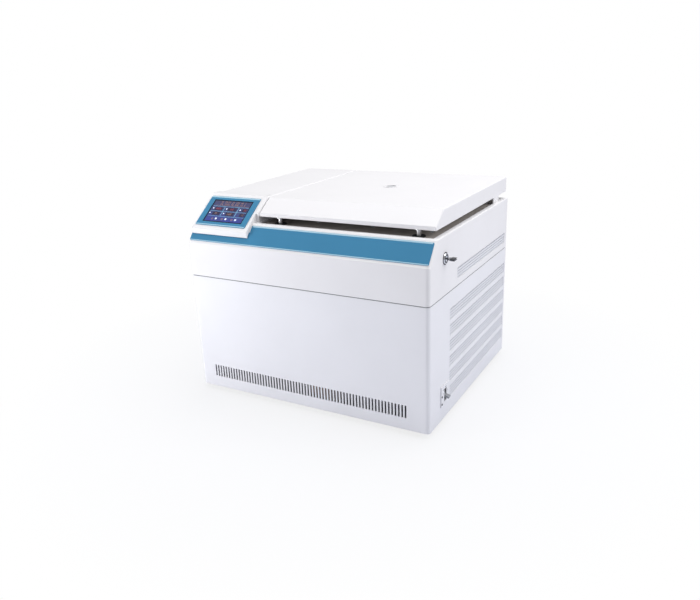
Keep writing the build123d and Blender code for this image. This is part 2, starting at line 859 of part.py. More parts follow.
# Rubber seal round the chamber mouth, standing up to the lid
with BuildPart() as chamber_seal:
    seal_z = plate_z + bowl_wall
    seal_top_z = lid_z - seat
    with BuildSketch(Plane.XZ.offset(-axis_y)):
        with BuildLine():
            Polyline(
                (axis_x + jacket_r, seal_z),
                (axis_x + jacket_r + seal_w, seal_z),
                (axis_x + jacket_r + seal_w, seal_z + 3),
                (axis_x + jacket_r + seal_lip_w + 2, seal_z + 6),
                (axis_x + jacket_r + seal_lip_w, seal_top_z),
                (axis_x + jacket_r, seal_top_z),
                close=True,
            )
        make_face()
    revolve(axis=Axis((axis_x, axis_y, 0), (0, 0, 1)))
chamber_seal.part.label = "chamber_seal"
export_step(chamber_seal.part, "parts/chamber_seal.step")

# Temperature probe on the chamber floor
with BuildPart() as temperature_probe:
    with BuildSketch(Plane.XY.offset(bowl_floor_z)):
        with Locations((axis_x + drain_set, axis_y)):
            Circle(sensor_r + sensor_flange_w)
    extrude(amount=sensor_flange_t)
    with BuildSketch(Plane.XY.offset(bowl_floor_z + sensor_flange_t)):
        with Locations((axis_x + drain_set, axis_y)):
            Circle(sensor_r)
    extrude(amount=sensor_len)
temperature_probe.part.label = "temperature_probe"
export_step(temperature_probe.part, "parts/temperature_probe.step")

# Drive motor on a plate and four rubber dampers
damper_z = floor_z + damper_h
motor_z = damper_z + mount_plate_t
motor_top_z = motor_z + motor_h
with BuildPart() as dampers:
    with BuildSketch(Plane.XY.offset(floor_z)):
        with Locations((axis_x, axis_y)):
            with PolarLocations(damper_ring_r, damper_count, start_angle=45):
                Circle(damper_r)
    extrude(amount=damper_h, taper=damper_taper)
dampers.part.label = "dampers"
export_step(dampers.part, "parts/dampers.step")

with BuildPart() as motor_plate:
    with BuildSketch(Plane.XY.offset(damper_z)):
        with Locations((axis_x, axis_y)):
            RectangleRounded(2 * damper_ring_r, 2 * damper_ring_r, 20)
    extrude(amount=mount_plate_t)
motor_plate.part.label = "motor_plate"
export_step(motor_plate.part, "parts/motor_plate.step")

with BuildPart() as motor:
    with BuildSketch(Plane.XY.offset(motor_z)):
        with Locations((axis_x, axis_y)):
            Circle(motor_r)
    extrude(amount=motor_h - motor_cap_h)
    with BuildSketch(Plane.XY.offset(motor_z + motor_h - motor_cap_h)):
        with Locations((axis_x, axis_y)):
            Circle(motor_r - 6)
    extrude(amount=motor_cap_h)
    with BuildSketch(Plane.XY.offset(motor_top_z)):
        with Locations((axis_x, axis_y)):
            Circle(bearing_r + bearing_fit)
    extrude(amount=-bearing_h, mode=Mode.SUBTRACT)
    with BuildSketch(Plane.XY.offset(motor_top_z)):
        with Locations((axis_x, axis_y)):
            Circle(spindle_r + 2)
    extrude(amount=-shaft_depth, mode=Mode.SUBTRACT)
motor.part.label = "motor"
export_step(motor.part, "parts/motor.step")

with BuildPart() as spindle_bearing:
    add(ring_at(Plane.XY.offset(motor_top_z - bearing_h), bearing_r, spindle_r + bearing_fit))
    extrude(amount=bearing_h)
spindle_bearing.part.label = "spindle_bearing"
export_step(spindle_bearing.part, "parts/spindle_bearing.step")

# Spindle: shaft, cone that seats the rotor, and stud for the nut
dish_slope = tan(radians(pocket_tilt))
hub_z = rotor_z + rotor_h - (rotor_top_r - rotor_hub_r) * dish_slope
with BuildPart() as spindle:
    with BuildSketch(Plane.XZ.offset(-axis_y)):
        with BuildLine():
            Polyline(
                (axis_x, motor_top_z - shaft_depth + shaft_end_gap),
                (axis_x + spindle_r, motor_top_z - shaft_depth + shaft_end_gap),
                (axis_x + spindle_r, rotor_z),
                (axis_x + spindle_tip_r, rotor_z + spindle_cone_h),
                (axis_x + spindle_tip_r, hub_z),
                (axis_x + stud_r, hub_z),
                (axis_x + stud_r, hub_z + nut_h - stud_set),
                (axis_x, hub_z + nut_h - stud_set),
                close=True,
            )
        make_face()
    revolve(axis=Axis((axis_x, axis_y, 0), (0, 0, 1)))
spindle.part.label = "spindle"
export_step(spindle.part, "parts/spindle.step")

# Fixed-angle rotor with a dished top and six tilted pockets
mouth_z = rotor_z + rotor_h - (rotor_top_r - pocket_top_r) * dish_slope
with BuildPart() as rotor:
    with BuildSketch(Plane.XZ.offset(-axis_y)):
        with BuildLine():
            Polyline(
                (axis_x + spindle_r + bore_gap, rotor_z + seat),
                (axis_x + rotor_r - rotor_chamfer, rotor_z + seat),
                (axis_x + rotor_r, rotor_z + seat + rotor_chamfer),
                (axis_x + rotor_r, rotor_z + rotor_skirt_h),
                (axis_x + rotor_top_r + rotor_lip_w, rotor_z + rotor_h),
                (axis_x + rotor_top_r, rotor_z + rotor_h),
                (axis_x + rotor_hub_r, hub_z),
                (axis_x + spindle_tip_r + bore_gap, hub_z),
                (axis_x + spindle_tip_r + bore_gap, rotor_z + spindle_cone_h),
                close=True,
            )
        make_face()
    revolve(axis=Axis((axis_x, axis_y, 0), (0, 0, 1)))
    tilt = radians(pocket_tilt)
    for i in range(pocket_count):
        turn = 2 * pi * (i + 0.5) / pocket_count
        mouth = Plane(
            origin=(axis_x + pocket_top_r * cos(turn), axis_y + pocket_top_r * sin(turn), mouth_z),
            x_dir=(-sin(turn), cos(turn), 0),
            z_dir=(-sin(tilt) * cos(turn), -sin(tilt) * sin(turn), cos(tilt)),
        )
        with BuildSketch(mouth.offset(mouth_clear)):
            Circle(pocket_r)
        extrude(amount=-pocket_depth - mouth_clear, mode=Mode.SUBTRACT)
rotor.part.label = "rotor"
export_step(rotor.part, "parts/rotor.step")

# Knob that clamps the rotor
with BuildPart() as rotor_nut:
    with BuildSketch(Plane.XY.offset(hub_z + seat)):
        with Locations((axis_x, axis_y)):
            Circle(nut_r)
            with PolarLocations(nut_r + 5, nut_grip_count):
                Circle(8, mode=Mode.SUBTRACT)
    extrude(amount=nut_h - seat)
    with BuildSketch(Plane.XY.offset(hub_z)):
        with Locations((axis_x, axis_y)):
            Circle(stud_r + bore_gap)
    extrude(amount=nut_h - 3, mode=Mode.SUBTRACT)
rotor_nut.part.label = "rotor_nut"
export_step(rotor_nut.part, "parts/rotor_nut.step")

# Lid shell with the front slope, two skirt tabs and notches for the hinge ears
lid_profile = [
    (lid_front_y, lid_z),
    (lid_front_y, lid_z + lid_lip_h),
    (front_y + lid_crease_set, lid_top_z),
    (lid_back_y, lid_top_z),
    (lid_back_y, lid_z),
]
hinge_xs = (lid_centre_x - hinge_x_offset, lid_centre_x + hinge_x_offset)
with BuildPart() as lid_shell:
    with BuildSketch(Plane.YZ.offset(lid_x_left)):
        with BuildLine():
            Polyline(*lid_profile, close=True)
        make_face()
    extrude(amount=lid_w)
    top_faces = lid_shell.faces().filter_by(lambda f: f.normal_at().Z > 0.5)
    fillet(top_faces.edges().filter_by(lambda e: abs(e.tangent_at(0).X) < 0.1), radius=lid_edge_r)
    bottom = lid_shell.faces().sort_by(Axis.Z)[0]
    offset(amount=-lid_wall, openings=bottom)
    tab_mid_y = back_y - lid_tab_back + lid_tab_len / 2
    tab_h = lid_gap - lid_tab_gap
    with BuildSketch(Plane.XY.offset(lid_z)):
        with Locations((lid_x_left + lid_wall / 2, tab_mid_y), (lid_x_right - lid_wall / 2, tab_mid_y)):
            Rectangle(lid_wall, lid_tab_len)
    extrude(amount=-tab_h)
    with BuildSketch(Plane.XY.offset(lid_z)):
        with Locations(*[(x, lid_back_y - lid_wall / 2) for x in hinge_xs]):
            Rectangle(hinge_ear_t + 2 * hinge_notch_gap, 2 * lid_wall)
    extrude(amount=hinge_notch_h, mode=Mode.SUBTRACT)
    with BuildSketch(Plane.XY.offset(lid_top_z)):
        with Locations((axis_x, axis_y)):
            Circle(port_tube_r + seat)
    extrude(amount=-2 * lid_wall, mode=Mode.SUBTRACT)
lid_shell.part.label = "lid_shell"
export_step(lid_shell.part, "parts/lid_shell.step")

# Lid liner with the round plug over the chamber
liner_x_left = lid_x_left + lid_wall + seat
liner_x_right = lid_x_right - lid_wall - seat
liner_front_y = lid_front_y + lid_wall + seat
liner_back_y = back_y - liner_back_set
with BuildPart() as lid_liner:
    with BuildSketch(Plane.XY.offset(lid_z)):
        with Locations(((liner_x_left + liner_x_right) / 2, (liner_front_y + liner_back_y) / 2)):
            Rectangle(liner_x_right - liner_x_left, liner_back_y - liner_front_y)
    extrude(amount=liner_t)
    with BuildSketch(Plane.XY.offset(lid_z)):
        with Locations((axis_x, axis_y)):
            Circle(liner_disc_r)
    extrude(amount=-liner_disc_t, taper=30)
    with BuildSketch(Plane.XY.offset(lid_z - liner_disc_t)):
        with Locations((axis_x, axis_y)):
            Circle(port_tube_r + seat)
    extrude(amount=liner_disc_t + liner_t, mode=Mode.SUBTRACT)
lid_liner.part.label = "lid_liner"
export_step(lid_liner.part, "parts/lid_liner.step")

# Foam filling of the lid
with BuildPart() as lid_foam:
    with BuildSketch(Plane.YZ.offset(liner_x_left + 1)):
        with BuildLine():
            Polyline(
                (liner_front_y + 4, lid_z + liner_t),
                (liner_front_y + 4, lid_z + lid_lip_h),
                (front_y + lid_crease_set + 6, lid_top_z - lid_wall),
                (liner_back_y - 6, lid_top_z - lid_wall),
                (liner_back_y - 6, lid_z + liner_t),
                close=True,
            )
        make_face()
    extrude(amount=liner_x_right - liner_x_left - 2)
    with BuildSketch(Plane.XY.offset(lid_z)):
        with Locations((axis_x, axis_y)):
            Circle(port_tube_r + seat)
    extrude(amount=lid_h, mode=Mode.SUBTRACT)
lid_foam.part.label = "lid_foam"
export_step(lid_foam.part, "parts/lid_foam.step")

# Inspection port in the lid: a rimmed tube and its clear pane
with BuildPart() as port_tube:
    add(ring_at(Plane.XY.offset(lid_z - liner_disc_t), port_tube_r, port_bore_r))
    extrude(amount=lid_h + liner_disc_t)
    add(ring_at(Plane.XY.offset(lid_top_z), port_r, port_bore_r))
    extrude(amount=port_rim_h)
port_tube.part.label = "port_tube"
export_step(port_tube.part, "parts/port_tube.step")

with BuildPart() as port_pane:
    with BuildSketch(Plane.XY.offset(lid_top_z - port_pane_t)):
        with Locations((axis_x, axis_y)):
            Circle(port_bore_r - 0.1)
    extrude(amount=port_pane_t)
port_pane.part.label = "port_pane"
export_step(port_pane.part, "parts/port_pane.step")

# Strike pins under the lid, each with a neck for its hook
with BuildPart() as strikes:
    for x in latch_xs:
        strike_top = lid_z
        head_z = strike_top - strike_len
        neck_z = head_z + strike_head_h
        with BuildSketch(Plane.XZ.offset(-latch_y)):
            with BuildLine():
                Polyline(
                    (x, strike_top),
                    (x + strike_flange_r, strike_top),
                    (x + strike_flange_r, strike_top - strike_flange_t),
                    (x + strike_r, strike_top - strike_flange_t),
                    (x + strike_r, neck_z + strike_neck_h),
                    (x + strike_neck_r, neck_z + strike_neck_h),
                    (x + strike_neck_r, neck_z),
                    (x + strike_r, neck_z),
                    (x + strike_r, head_z + 2),
                    (x + strike_r - 2, head_z),
                    (x, head_z),
                    close=True,
                )
            make_face()
        revolve(axis=Axis((x, latch_y, 0), (0, 0, 1)))
strikes.part.label = "strikes"
export_step(strikes.part, "parts/strikes.step")

# Collars round the two latch mouths, slotted for the swing of the lid
with BuildPart() as latch_sockets:
    with BuildSketch(Plane.XY.offset(plate_z)):
        with Locations(*[(x, latch_y) for x in latch_xs]):
            Circle(socket_r)
        mouth_w = 2 * (strike_r + socket_bore_gap)
        with Locations(*[(x, latch_y - socket_travel / 4) for x in latch_xs]):
            SlotCenterToCenter(socket_travel, mouth_w, rotation=90, mode=Mode.SUBTRACT)
    extrude(amount=socket_h)
latch_sockets.part.label = "latch_sockets"
export_step(latch_sockets.part, "parts/latch_sockets.step")

# Latch brackets hung under the deck, one behind each mouth
hook_z = lid_z - strike_len + strike_head_h + (strike_neck_h - hook_t) / 2
pivot_y = latch_y + hook_reach
bracket_top_z = plate_z - deck_t
shelf_top_z = hook_z - 2
with BuildPart() as latch_brackets:
    for x in latch_xs:
        with BuildSketch(Plane.YZ.offset(x - bracket_w / 2)):
            with BuildLine():
                wall_y = pivot_y + bracket_reach - hook_hub_r - 2
                Polyline(
                    (wall_y, shelf_top_z),
                    (pivot_y - hook_hub_r - 2, shelf_top_z),
                    (pivot_y - hook_hub_r - 2, shelf_top_z - bracket_t),
                    (wall_y + bracket_t, shelf_top_z - bracket_t),
                    (wall_y + bracket_t, bracket_top_z),
                    (wall_y, bracket_top_z),
                    close=True,
                )
            make_face()
        extrude(amount=bracket_w)
        with BuildSketch(Plane.XY.offset(shelf_top_z)):
            with Locations((x, pivot_y)):
                Circle(hook_pin_r + bore_gap)
        extrude(amount=-bracket_t, mode=Mode.SUBTRACT)
latch_brackets.part.label = "latch_brackets"
export_step(latch_brackets.part, "parts/latch_brackets.step")

# Latch gearmotors under the brackets, their shafts are the pivots
with BuildPart() as latch_motors:
    with BuildSketch(Plane.XY.offset(shelf_top_z - bracket_t)):
        with Locations(*[(x, pivot_y) for x in latch_xs]):
            Circle(latch_motor_r)
    extrude(amount=-latch_motor_h)
    with BuildSketch(Plane.XY.offset(shelf_top_z - bracket_t)):
        with Locations(*[(x, pivot_y) for x in latch_xs]):
            Circle(hook_pin_r)
    extrude(amount=bracket_t + 2 + hook_t + 1.5)
latch_motors.part.label = "latch_motors"
export_step(latch_motors.part, "parts/latch_motors.step")

# Swinging hooks, drawn in their open position
hook_out_r = hook_reach + strike_neck_r + hook_slot_gap + hook_tine
slot_in_r = hook_reach - strike_neck_r - hook_slot_gap
slot_out_r = hook_reach + strike_neck_r + hook_slot_gap
slot_end = degrees((strike_neck_r + hook_slot_gap) / hook_reach)
hook_start = -90 - hook_back_angle - hook_swing
hook_sweep = hook_back_angle + hook_tip_angle
mouth_start = -90 - slot_end - hook_swing
mouth_sweep = slot_end + hook_tip_angle + 2


def sector(centre, radius, start, sweep):
    """Pie-slice sketch on the hook's plane."""
    with BuildSketch(Plane.XY.offset(hook_z)) as slice_sketch:
        with BuildLine():
            rim = CenterArc(centre, radius, start, sweep)
            Line(centre, rim @ 0)
            Line(rim @ 1, centre)
        make_face()
    return slice_sketch.sketch


for x, label in zip(latch_xs, ("latch_hook_left", "latch_hook_right")):
    with BuildPart() as latch_hook:
        add(sector((x, pivot_y), hook_out_r, hook_start, hook_sweep))
        extrude(amount=hook_t)
        ring_slot = sector((x, pivot_y), slot_out_r, mouth_start, mouth_sweep)
        ring_slot -= sector((x, pivot_y), slot_in_r, mouth_start - 5, mouth_sweep + 10)
        add(ring_slot)
        extrude(amount=hook_t, mode=Mode.SUBTRACT)
        with BuildSketch(Plane.XY.offset(hook_z)):
            with Locations((x, pivot_y)):
                Circle(hook_hub_r)
        extrude(amount=hook_t)
        with BuildSketch(Plane.XY.offset(hook_z)):
            with Locations((x, pivot_y)):
                Circle(hook_pin_r + hinge_run_fit)
        extrude(amount=hook_t, mode=Mode.SUBTRACT)
    latch_hook.part.label = label
    export_step(latch_hook.part, f"parts/{label}.step")

# Hinge brackets on the back of the deck, with round ears for the pins
ear_x = hinge_ear_t / 2
with BuildPart() as hinge_brackets:
    for x in hinge_xs:
        with BuildSketch(Plane.XY.offset(deck_z)):
            with Locations((x, back_y - edge_r - 1 - hinge_foot_len / 2)):
                Rectangle(hinge_foot_w, hinge_foot_len)
        extrude(amount=hinge_foot_t)
        with BuildSketch(Plane.YZ.offset(x - ear_x)):
            with BuildLine():
                Polyline(
                    (hinge_y - hinge_ear_r, hinge_z),
                    (hinge_y - hinge_ear_r, deck_z + hinge_foot_t),
                    (hinge_y - edge_r - 1, deck_z + hinge_foot_t),
                    (hinge_y + hinge_ear_r, hinge_z - hinge_ear_r),
                    (hinge_y + hinge_ear_r, hinge_z),
                    close=True,
                )
            make_face()
            with Locations((hinge_y, hinge_z)):
                Circle(hinge_ear_r)
                Circle(hinge_pin_r + hinge_fit, mode=Mode.SUBTRACT)
        extrude(amount=hinge_ear_t)
hinge_brackets.part.label = "hinge_brackets"
export_step(hinge_brackets.part, "parts/hinge_brackets.step")

with BuildPart() as hinge_pins:
    for x in hinge_xs:
        with BuildSketch(Plane.YZ.offset(x - hinge_pin_len / 2)):
            with Locations((hinge_y, hinge_z)):
                Circle(hinge_pin_r)
        extrude(amount=hinge_pin_len)
hinge_pins.part.label = "hinge_pins"
export_step(hinge_pins.part, "parts/hinge_pins.step")

# Lid arms: two lugs astride each ear, hung from the top of the lid
lug_out = ear_x + hinge_side_gap + hinge_lug_t
lid_roof_z = lid_top_z - lid_wall
arm_top_z = lid_roof_z - arm_plate_t
with BuildPart() as hinge_arms:
    for x in hinge_xs:
        with BuildSketch(Plane.XY.offset(arm_top_z)):
            with Locations((x, hinge_y - arm_plate_len / 2 + hinge_ear_r)):
                Rectangle(2 * lug_out, arm_plate_len)
        extrude(amount=arm_plate_t)
        for lug_x in (x - lug_out, x + ear_x + hinge_side_gap):
            with BuildSketch(Plane.YZ.offset(lug_x)):
                with BuildLine():
                    Polyline(
                        (hinge_y - arm_plate_len + 2 * hinge_ear_r, arm_top_z),
                        (hinge_y - lug_r, hinge_z),
                        (hinge_y + lug_r, hinge_z),
                        (hinge_y + lug_r, arm_top_z),
                        close=True,
                    )
                make_face()
                with Locations((hinge_y, hinge_z)):
                    Circle(lug_r)
                    Circle(hinge_pin_r + hinge_run_fit, mode=Mode.SUBTRACT)
            extrude(amount=hinge_lug_t)
hinge_arms.part.label = "hinge_arms"
export_step(hinge_arms.part, "parts/hinge_arms.step")

# Key lock of the emergency lid release, through the right wall
with BuildPart() as lock_barrel:
    with BuildSketch(Plane.YZ.offset(side_x - lock_barrel_len)):
        with Locations((lock_y, lock_z)):
            Circle(lock_barrel_r)
    extrude(amount=lock_barrel_len)
    with BuildSketch(Plane.YZ.offset(side_x)):
        with Locations((lock_y, lock_z)):
            Circle(lock_ring_r)
    extrude(amount=lock_ring_t, taper=lock_ring_taper)
    with BuildSketch(Plane.YZ.offset(side_x - lock_barrel_len)):
        with Locations((lock_y, lock_z)):
            Circle(lock_plug_r + lock_fit)
    extrude(amount=lock_barrel_len + lock_ring_t, mode=Mode.SUBTRACT)
lock_barrel.part.label = "lock_barrel"
export_step(lock_barrel.part, "parts/lock_barrel.step")

plug_front_x = side_x + lock_ring_t - 0.5
cam_x = side_x - lock_barrel_len - 1
with BuildPart() as lock_plug:
    with BuildSketch(Plane.YZ.offset(cam_x)):
        with Locations((lock_y, lock_z)):
            Circle(lock_plug_r)
    extrude(amount=plug_front_x - cam_x)
    with BuildSketch(Plane.YZ.offset(cam_x)):
        with Locations((lock_y, lock_z - cam_len / 2 + cam_w / 2)):
            SlotOverall(cam_len, cam_w, rotation=90)
    extrude(amount=-cam_t)
lock_plug.part.label = "lock_plug"
export_step(lock_plug.part, "parts/lock_plug.step")

with BuildPart() as key:
    bow_x = plug_front_x + key_neck_len + key_bow_r - 2
    with BuildSketch(Plane.XY.offset(lock_z - key_t / 2)):
        with Locations((plug_front_x + key_neck_len / 2, lock_y)):
            Rectangle(key_neck_len, key_neck_w)
        with Locations((bow_x, lock_y)):
            Circle(key_bow_r)
            Circle(key_eye_r, mode=Mode.SUBTRACT)
    extrude(amount=key_t)
key.part.label = "key"
export_step(key.part, "parts/key.step")

# Mains switch low on the right: body with the lever's pin, cover plate and toggle lever
lever_pivot_x = side_x - lever_hub_r - 1
with BuildPart() as switch_body:
    with BuildSketch(Plane.YZ.offset(side_x)):
        with Locations((switch_y, switch_z)):
            Rectangle(switch_body_w, switch_body_h)
    extrude(amount=-switch_body_d)
    with BuildSketch(Plane.YZ.offset(side_x)):
        with Locations((switch_y, switch_z)):
            Rectangle(lever_mouth_w, lever_slot_h)
    extrude(amount=-lever_hub_r * 2 - 4, mode=Mode.SUBTRACT)
    with BuildSketch(Plane.XZ.offset(-switch_y - lever_mouth_w / 2)):
        with Locations((lever_pivot_x, switch_z)):
            Circle(lever_pivot_r)
    extrude(amount=lever_mouth_w)
switch_body.part.label = "switch_body"
export_step(switch_body.part, "parts/switch_body.step")

with BuildPart() as switch_plate:
    with BuildSketch(Plane.YZ.offset(side_x)):
        with Locations((switch_y, switch_z)):
            RectangleRounded(switch_w, switch_plate_h, switch_corner)
            Rectangle(lever_w + 3, lever_slot_h + 4, mode=Mode.SUBTRACT)
    extrude(amount=switch_plate_t)
switch_plate.part.label = "switch_plate"
export_step(switch_plate.part, "parts/switch_plate.step")

with BuildPart() as switch_lever:
    with BuildSketch(Plane.XZ.offset(-switch_y - lever_w / 2)):
        with Locations((lever_pivot_x, switch_z)):
            Circle(lever_hub_r)
            with Locations(Rotation(0, 0, -lever_rest_angle)):
                with Locations((lever_len / 2, 0)):
                    Rectangle(lever_len, lever_t)
            Circle(lever_pivot_r + lock_fit, mode=Mode.SUBTRACT)
    extrude(amount=lever_w)
switch_lever.part.label = "switch_lever"
export_step(switch_lever.part, "parts/switch_lever.step")

# Compressor on its feet and rubber grommets
compressor_z = floor_z + grommet_h
foot_span = 2 * compressor_r - 2 * grommet_r
with BuildPart() as compressor:
    with BuildSketch(Plane.XY.offset(compressor_z)):
        with Locations((compressor_x, compressor_y)):
            RectangleRounded(2 * compressor_r, 2 * compressor_r, grommet_r)
    extrude(amount=compressor_foot_t)
    with BuildSketch(Plane.XY.offset(compressor_z + compressor_foot_t)):
        with Locations((compressor_x, compressor_y)):
            Circle(compressor_r - compressor_foot_lap)
    extrude(amount=compressor_h - compressor_foot_t)
    fillet(compressor.faces().sort_by(Axis.Z)[-1].edges(), radius=compressor_dome_r)
compressor.part.label = "compressor"
export_step(compressor.part, "parts/compressor.step")

with BuildPart() as grommets:
    with BuildSketch(Plane.XY.offset(floor_z)):
        with Locations((compressor_x, compressor_y)):
            with GridLocations(foot_span, foot_span, 2, 2):
                Circle(grommet_r)
    extrude(amount=grommet_h)
grommets.part.label = "grommets"
export_step(grommets.part, "parts/grommets.step")

# Condenser with its fins, fan shroud, fan and fan motor
condenser_mid_z = floor_z + condenser_h / 2
with BuildPart() as condenser:
    with BuildSketch(Plane.YZ.offset(condenser_x - condenser_t / 2)):
        with Locations((condenser_y, condenser_mid_z)):
            Rectangle(condenser_w, condenser_h)
    extrude(amount=condenser_t)
    fin_pitch = (condenser_w - 2 * fin_margin) / fin_count
    with BuildSketch(Plane.YZ.offset(condenser_x - condenser_t / 2)):
        with Locations((condenser_y, condenser_mid_z)):
            with GridLocations(fin_pitch, 0, fin_count, 1):
                Rectangle(fin_pitch * 0.6, condenser_h - 2 * fin_margin)
    extrude(amount=condenser_t / 3, mode=Mode.SUBTRACT)
condenser.part.label = "condenser"
export_step(condenser.part, "parts/condenser.step")

shroud_x = condenser_x + condenser_t / 2
shroud_w = 2 * fan_r + shroud_edge
with BuildPart() as fan_shroud:
    with BuildSketch(Plane.YZ.offset(shroud_x)):
        with Locations((condenser_y, condenser_mid_z)):
            Rectangle(shroud_w, shroud_w)
            Circle(fan_r + fan_tip_gap, mode=Mode.SUBTRACT)
    extrude(amount=shroud_t)
    with BuildSketch(Plane.YZ.offset(shroud_x + shroud_t)):
        with Locations((condenser_y, condenser_mid_z)):
            Rectangle(shroud_w, shroud_bar_w)
            Circle(fan_motor_r + shroud_seat_w)
    extrude(amount=shroud_bar_t)
    with BuildSketch(Plane.YZ.offset(shroud_x + shroud_t)):
        with Locations((condenser_y, condenser_mid_z)):
            Circle(fan_shaft_r + 1)
    extrude(amount=shroud_bar_t, mode=Mode.SUBTRACT)
fan_shroud.part.label = "fan_shroud"
export_step(fan_shroud.part, "parts/fan_shroud.step")

with BuildPart() as fan_motor:
    with BuildSketch(Plane.YZ.offset(shroud_x + shroud_t + shroud_bar_t)):
        with Locations((condenser_y, condenser_mid_z)):
            Circle(fan_motor_r)
    extrude(amount=fan_motor_len)
    with BuildSketch(Plane.YZ.offset(shroud_x + shroud_t + shroud_bar_t)):
        with Locations((condenser_y, condenser_mid_z)):
            Circle(fan_shaft_r)
    extrude(amount=-fan_depth)
fan_motor.part.label = "fan_motor"
export_step(fan_motor.part, "parts/fan_motor.step")

fan_x = shroud_x + (shroud_t - fan_depth) / 2
with BuildPart() as condenser_fan:
    with BuildSketch(Plane.YZ.offset(fan_x)):
        with Locations((condenser_y, condenser_mid_z)):
            Circle(fan_hub_r)
    extrude(amount=fan_depth)
    for i in range(fan_blades):
        spoke = 2 * pi * i / fan_blades
        outward = (0, cos(spoke), sin(spoke))
        pitch = radians(blade_pitch)
        across = (cos(pitch), -sin(pitch) * sin(spoke), sin(pitch) * cos(spoke))
        root = Plane(
            origin=(
                fan_x + fan_depth / 2,
                condenser_y + (fan_hub_r - blade_root) * cos(spoke),
                condenser_mid_z + (fan_hub_r - blade_root) * sin(spoke),
            ),
            x_dir=across,
            z_dir=outward,
        )
        with BuildSketch(root):
            Rectangle(blade_chord, blade_t)
        extrude(amount=fan_r - fan_hub_r + 2)
    with BuildSketch(Plane.YZ.offset(fan_x - 1)):
        with Locations((condenser_y, condenser_mid_z)):
            Circle(fan_shaft_r + hinge_run_fit)
    extrude(amount=fan_depth + 2, mode=Mode.SUBTRACT)
condenser_fan.part.label = "condenser_fan"
export_step(condenser_fan.part, "parts/condenser_fan.step")

# Motor drive with a finned heat sink, and the transformer beside it
drive_y = front_y + drive_set
with BuildPart() as motor_drive:
    with BuildSketch(Plane.XY.offset(floor_z)):
        with Locations((drive_x, drive_y)):
            Rectangle(drive_w, drive_d)
    extrude(amount=drive_h)
    with BuildSketch(Plane.XY.offset(floor_z)):
        with Locations((drive_x, drive_y + drive_d / 2)):
            with GridLocations(drive_w / drive_fins, 0, drive_fins, 1):
                Rectangle(drive_w / drive_fins / 2, drive_fin_d)
    extrude(amount=drive_h, mode=Mode.SUBTRACT)
motor_drive.part.label = "motor_drive"
export_step(motor_drive.part, "parts/motor_drive.step")

with BuildPart() as transformer:
    with BuildSketch(Plane.XY.offset(floor_z)):
        with Locations((transformer_x, drive_y)):
            Rectangle(transformer_w, transformer_d / 2)
    extrude(amount=transformer_h)
    with BuildSketch(Plane.XY.offset(floor_z + winding_set)):
        with Locations((transformer_x, drive_y)):
            RectangleRounded(transformer_w - winding_less_w, transformer_d, winding_corner)
    extrude(amount=transformer_h - 2 * winding_set)
transformer.part.label = "transformer"
export_step(transformer.part, "parts/transformer.step")

# Mains inlet and drain spout in the rear panel
with BuildPart() as power_inlet:
    with BuildSketch(Plane.XZ.offset(-back_y)):
        with Locations((inlet_x, inlet_z)):
            Rectangle(inlet_w - 2 * seat, inlet_h - 2 * seat)
    extrude(amount=rear_panel_t + inlet_depth)
    with BuildSketch(Plane.XZ.offset(-back_y)):
        with Locations((inlet_x, inlet_z)):
            RectangleRounded(inlet_w + 8, inlet_h + 4, inlet_corner)
    extrude(amount=-inlet_lip_t)
    with BuildSketch(Plane.XZ.offset(-back_y - inlet_lip_t)) as inlet_mouth:
        with Locations((inlet_x, inlet_z)):
            Rectangle(inlet_w - 2 * inlet_wall, inlet_h - 2 * inlet_wall)
        chamfer(inlet_mouth.vertices().group_by(Axis.Z)[-1], length=inlet_chamfer)
    extrude(amount=inlet_depth, mode=Mode.SUBTRACT)
    with BuildSketch(Plane.XZ.offset(-back_y + inlet_depth - inlet_lip_t)):
        with Locations((inlet_x, inlet_z)):
            with Locations((0, pin_rise), (-pin_set, -pin_rise), (pin_set, -pin_rise)):
                Rectangle(pin_w, pin_h)
    extrude(amount=-inlet_depth + pin_inset)
power_inlet.part.label = "power_inlet"
export_step(power_inlet.part, "parts/power_inlet.step")

# Drain tube from the chamber floor to the rear panel
with BuildPart() as drain_tube:
    drain_x = axis_x - drain_set
    with BuildLine() as drain_path:
        FilletPolyline(
            (drain_x, axis_y, bowl_floor_z - bowl_wall - seat),
            (drain_x, axis_y, inlet_z),
            (drain_x, back_y + drain_stub, inlet_z),
            radius=drain_bend,
        )
    with BuildSketch(Plane(drain_path.line @ 0, z_dir=drain_path.line % 0)):
        Circle(drain_r)
        Circle(drain_r - drain_wall, mode=Mode.SUBTRACT)
    sweep(path=drain_path.line)
drain_tube.part.label = "drain_tube"
export_step(drain_tube.part, "parts/drain_tube.step")

# Refrigerant line from the compressor to the condenser, with its drier
with BuildPart() as refrigerant_line:
    line_z = compressor_z + compressor_h
    line_end_z = floor_z + condenser_h
    with BuildLine() as line_path:
        FilletPolyline(
            (compressor_x, compressor_y, line_z + seat),
            (compressor_x, compressor_y, line_end_z + line_rise),
            (condenser_x, compressor_y, line_end_z + line_rise),
            (condenser_x, condenser_y + condenser_w / 4, line_end_z + line_rise),
            (condenser_x, condenser_y + condenser_w / 4, line_end_z + seat),
            radius=line_bend,
        )
    with BuildSketch(Plane(line_path.line @ 0, z_dir=line_path.line % 0)):
        Circle(line_r)
    sweep(path=line_path.line)
refrigerant_line.part.label = "refrigerant_line"
export_step(refrigerant_line.part, "parts/refrigerant_line.step")
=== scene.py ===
import logging
import math
from dataclasses import dataclass, field
from enum import Enum

import bmesh
import bpy
from mathutils import Matrix, Vector


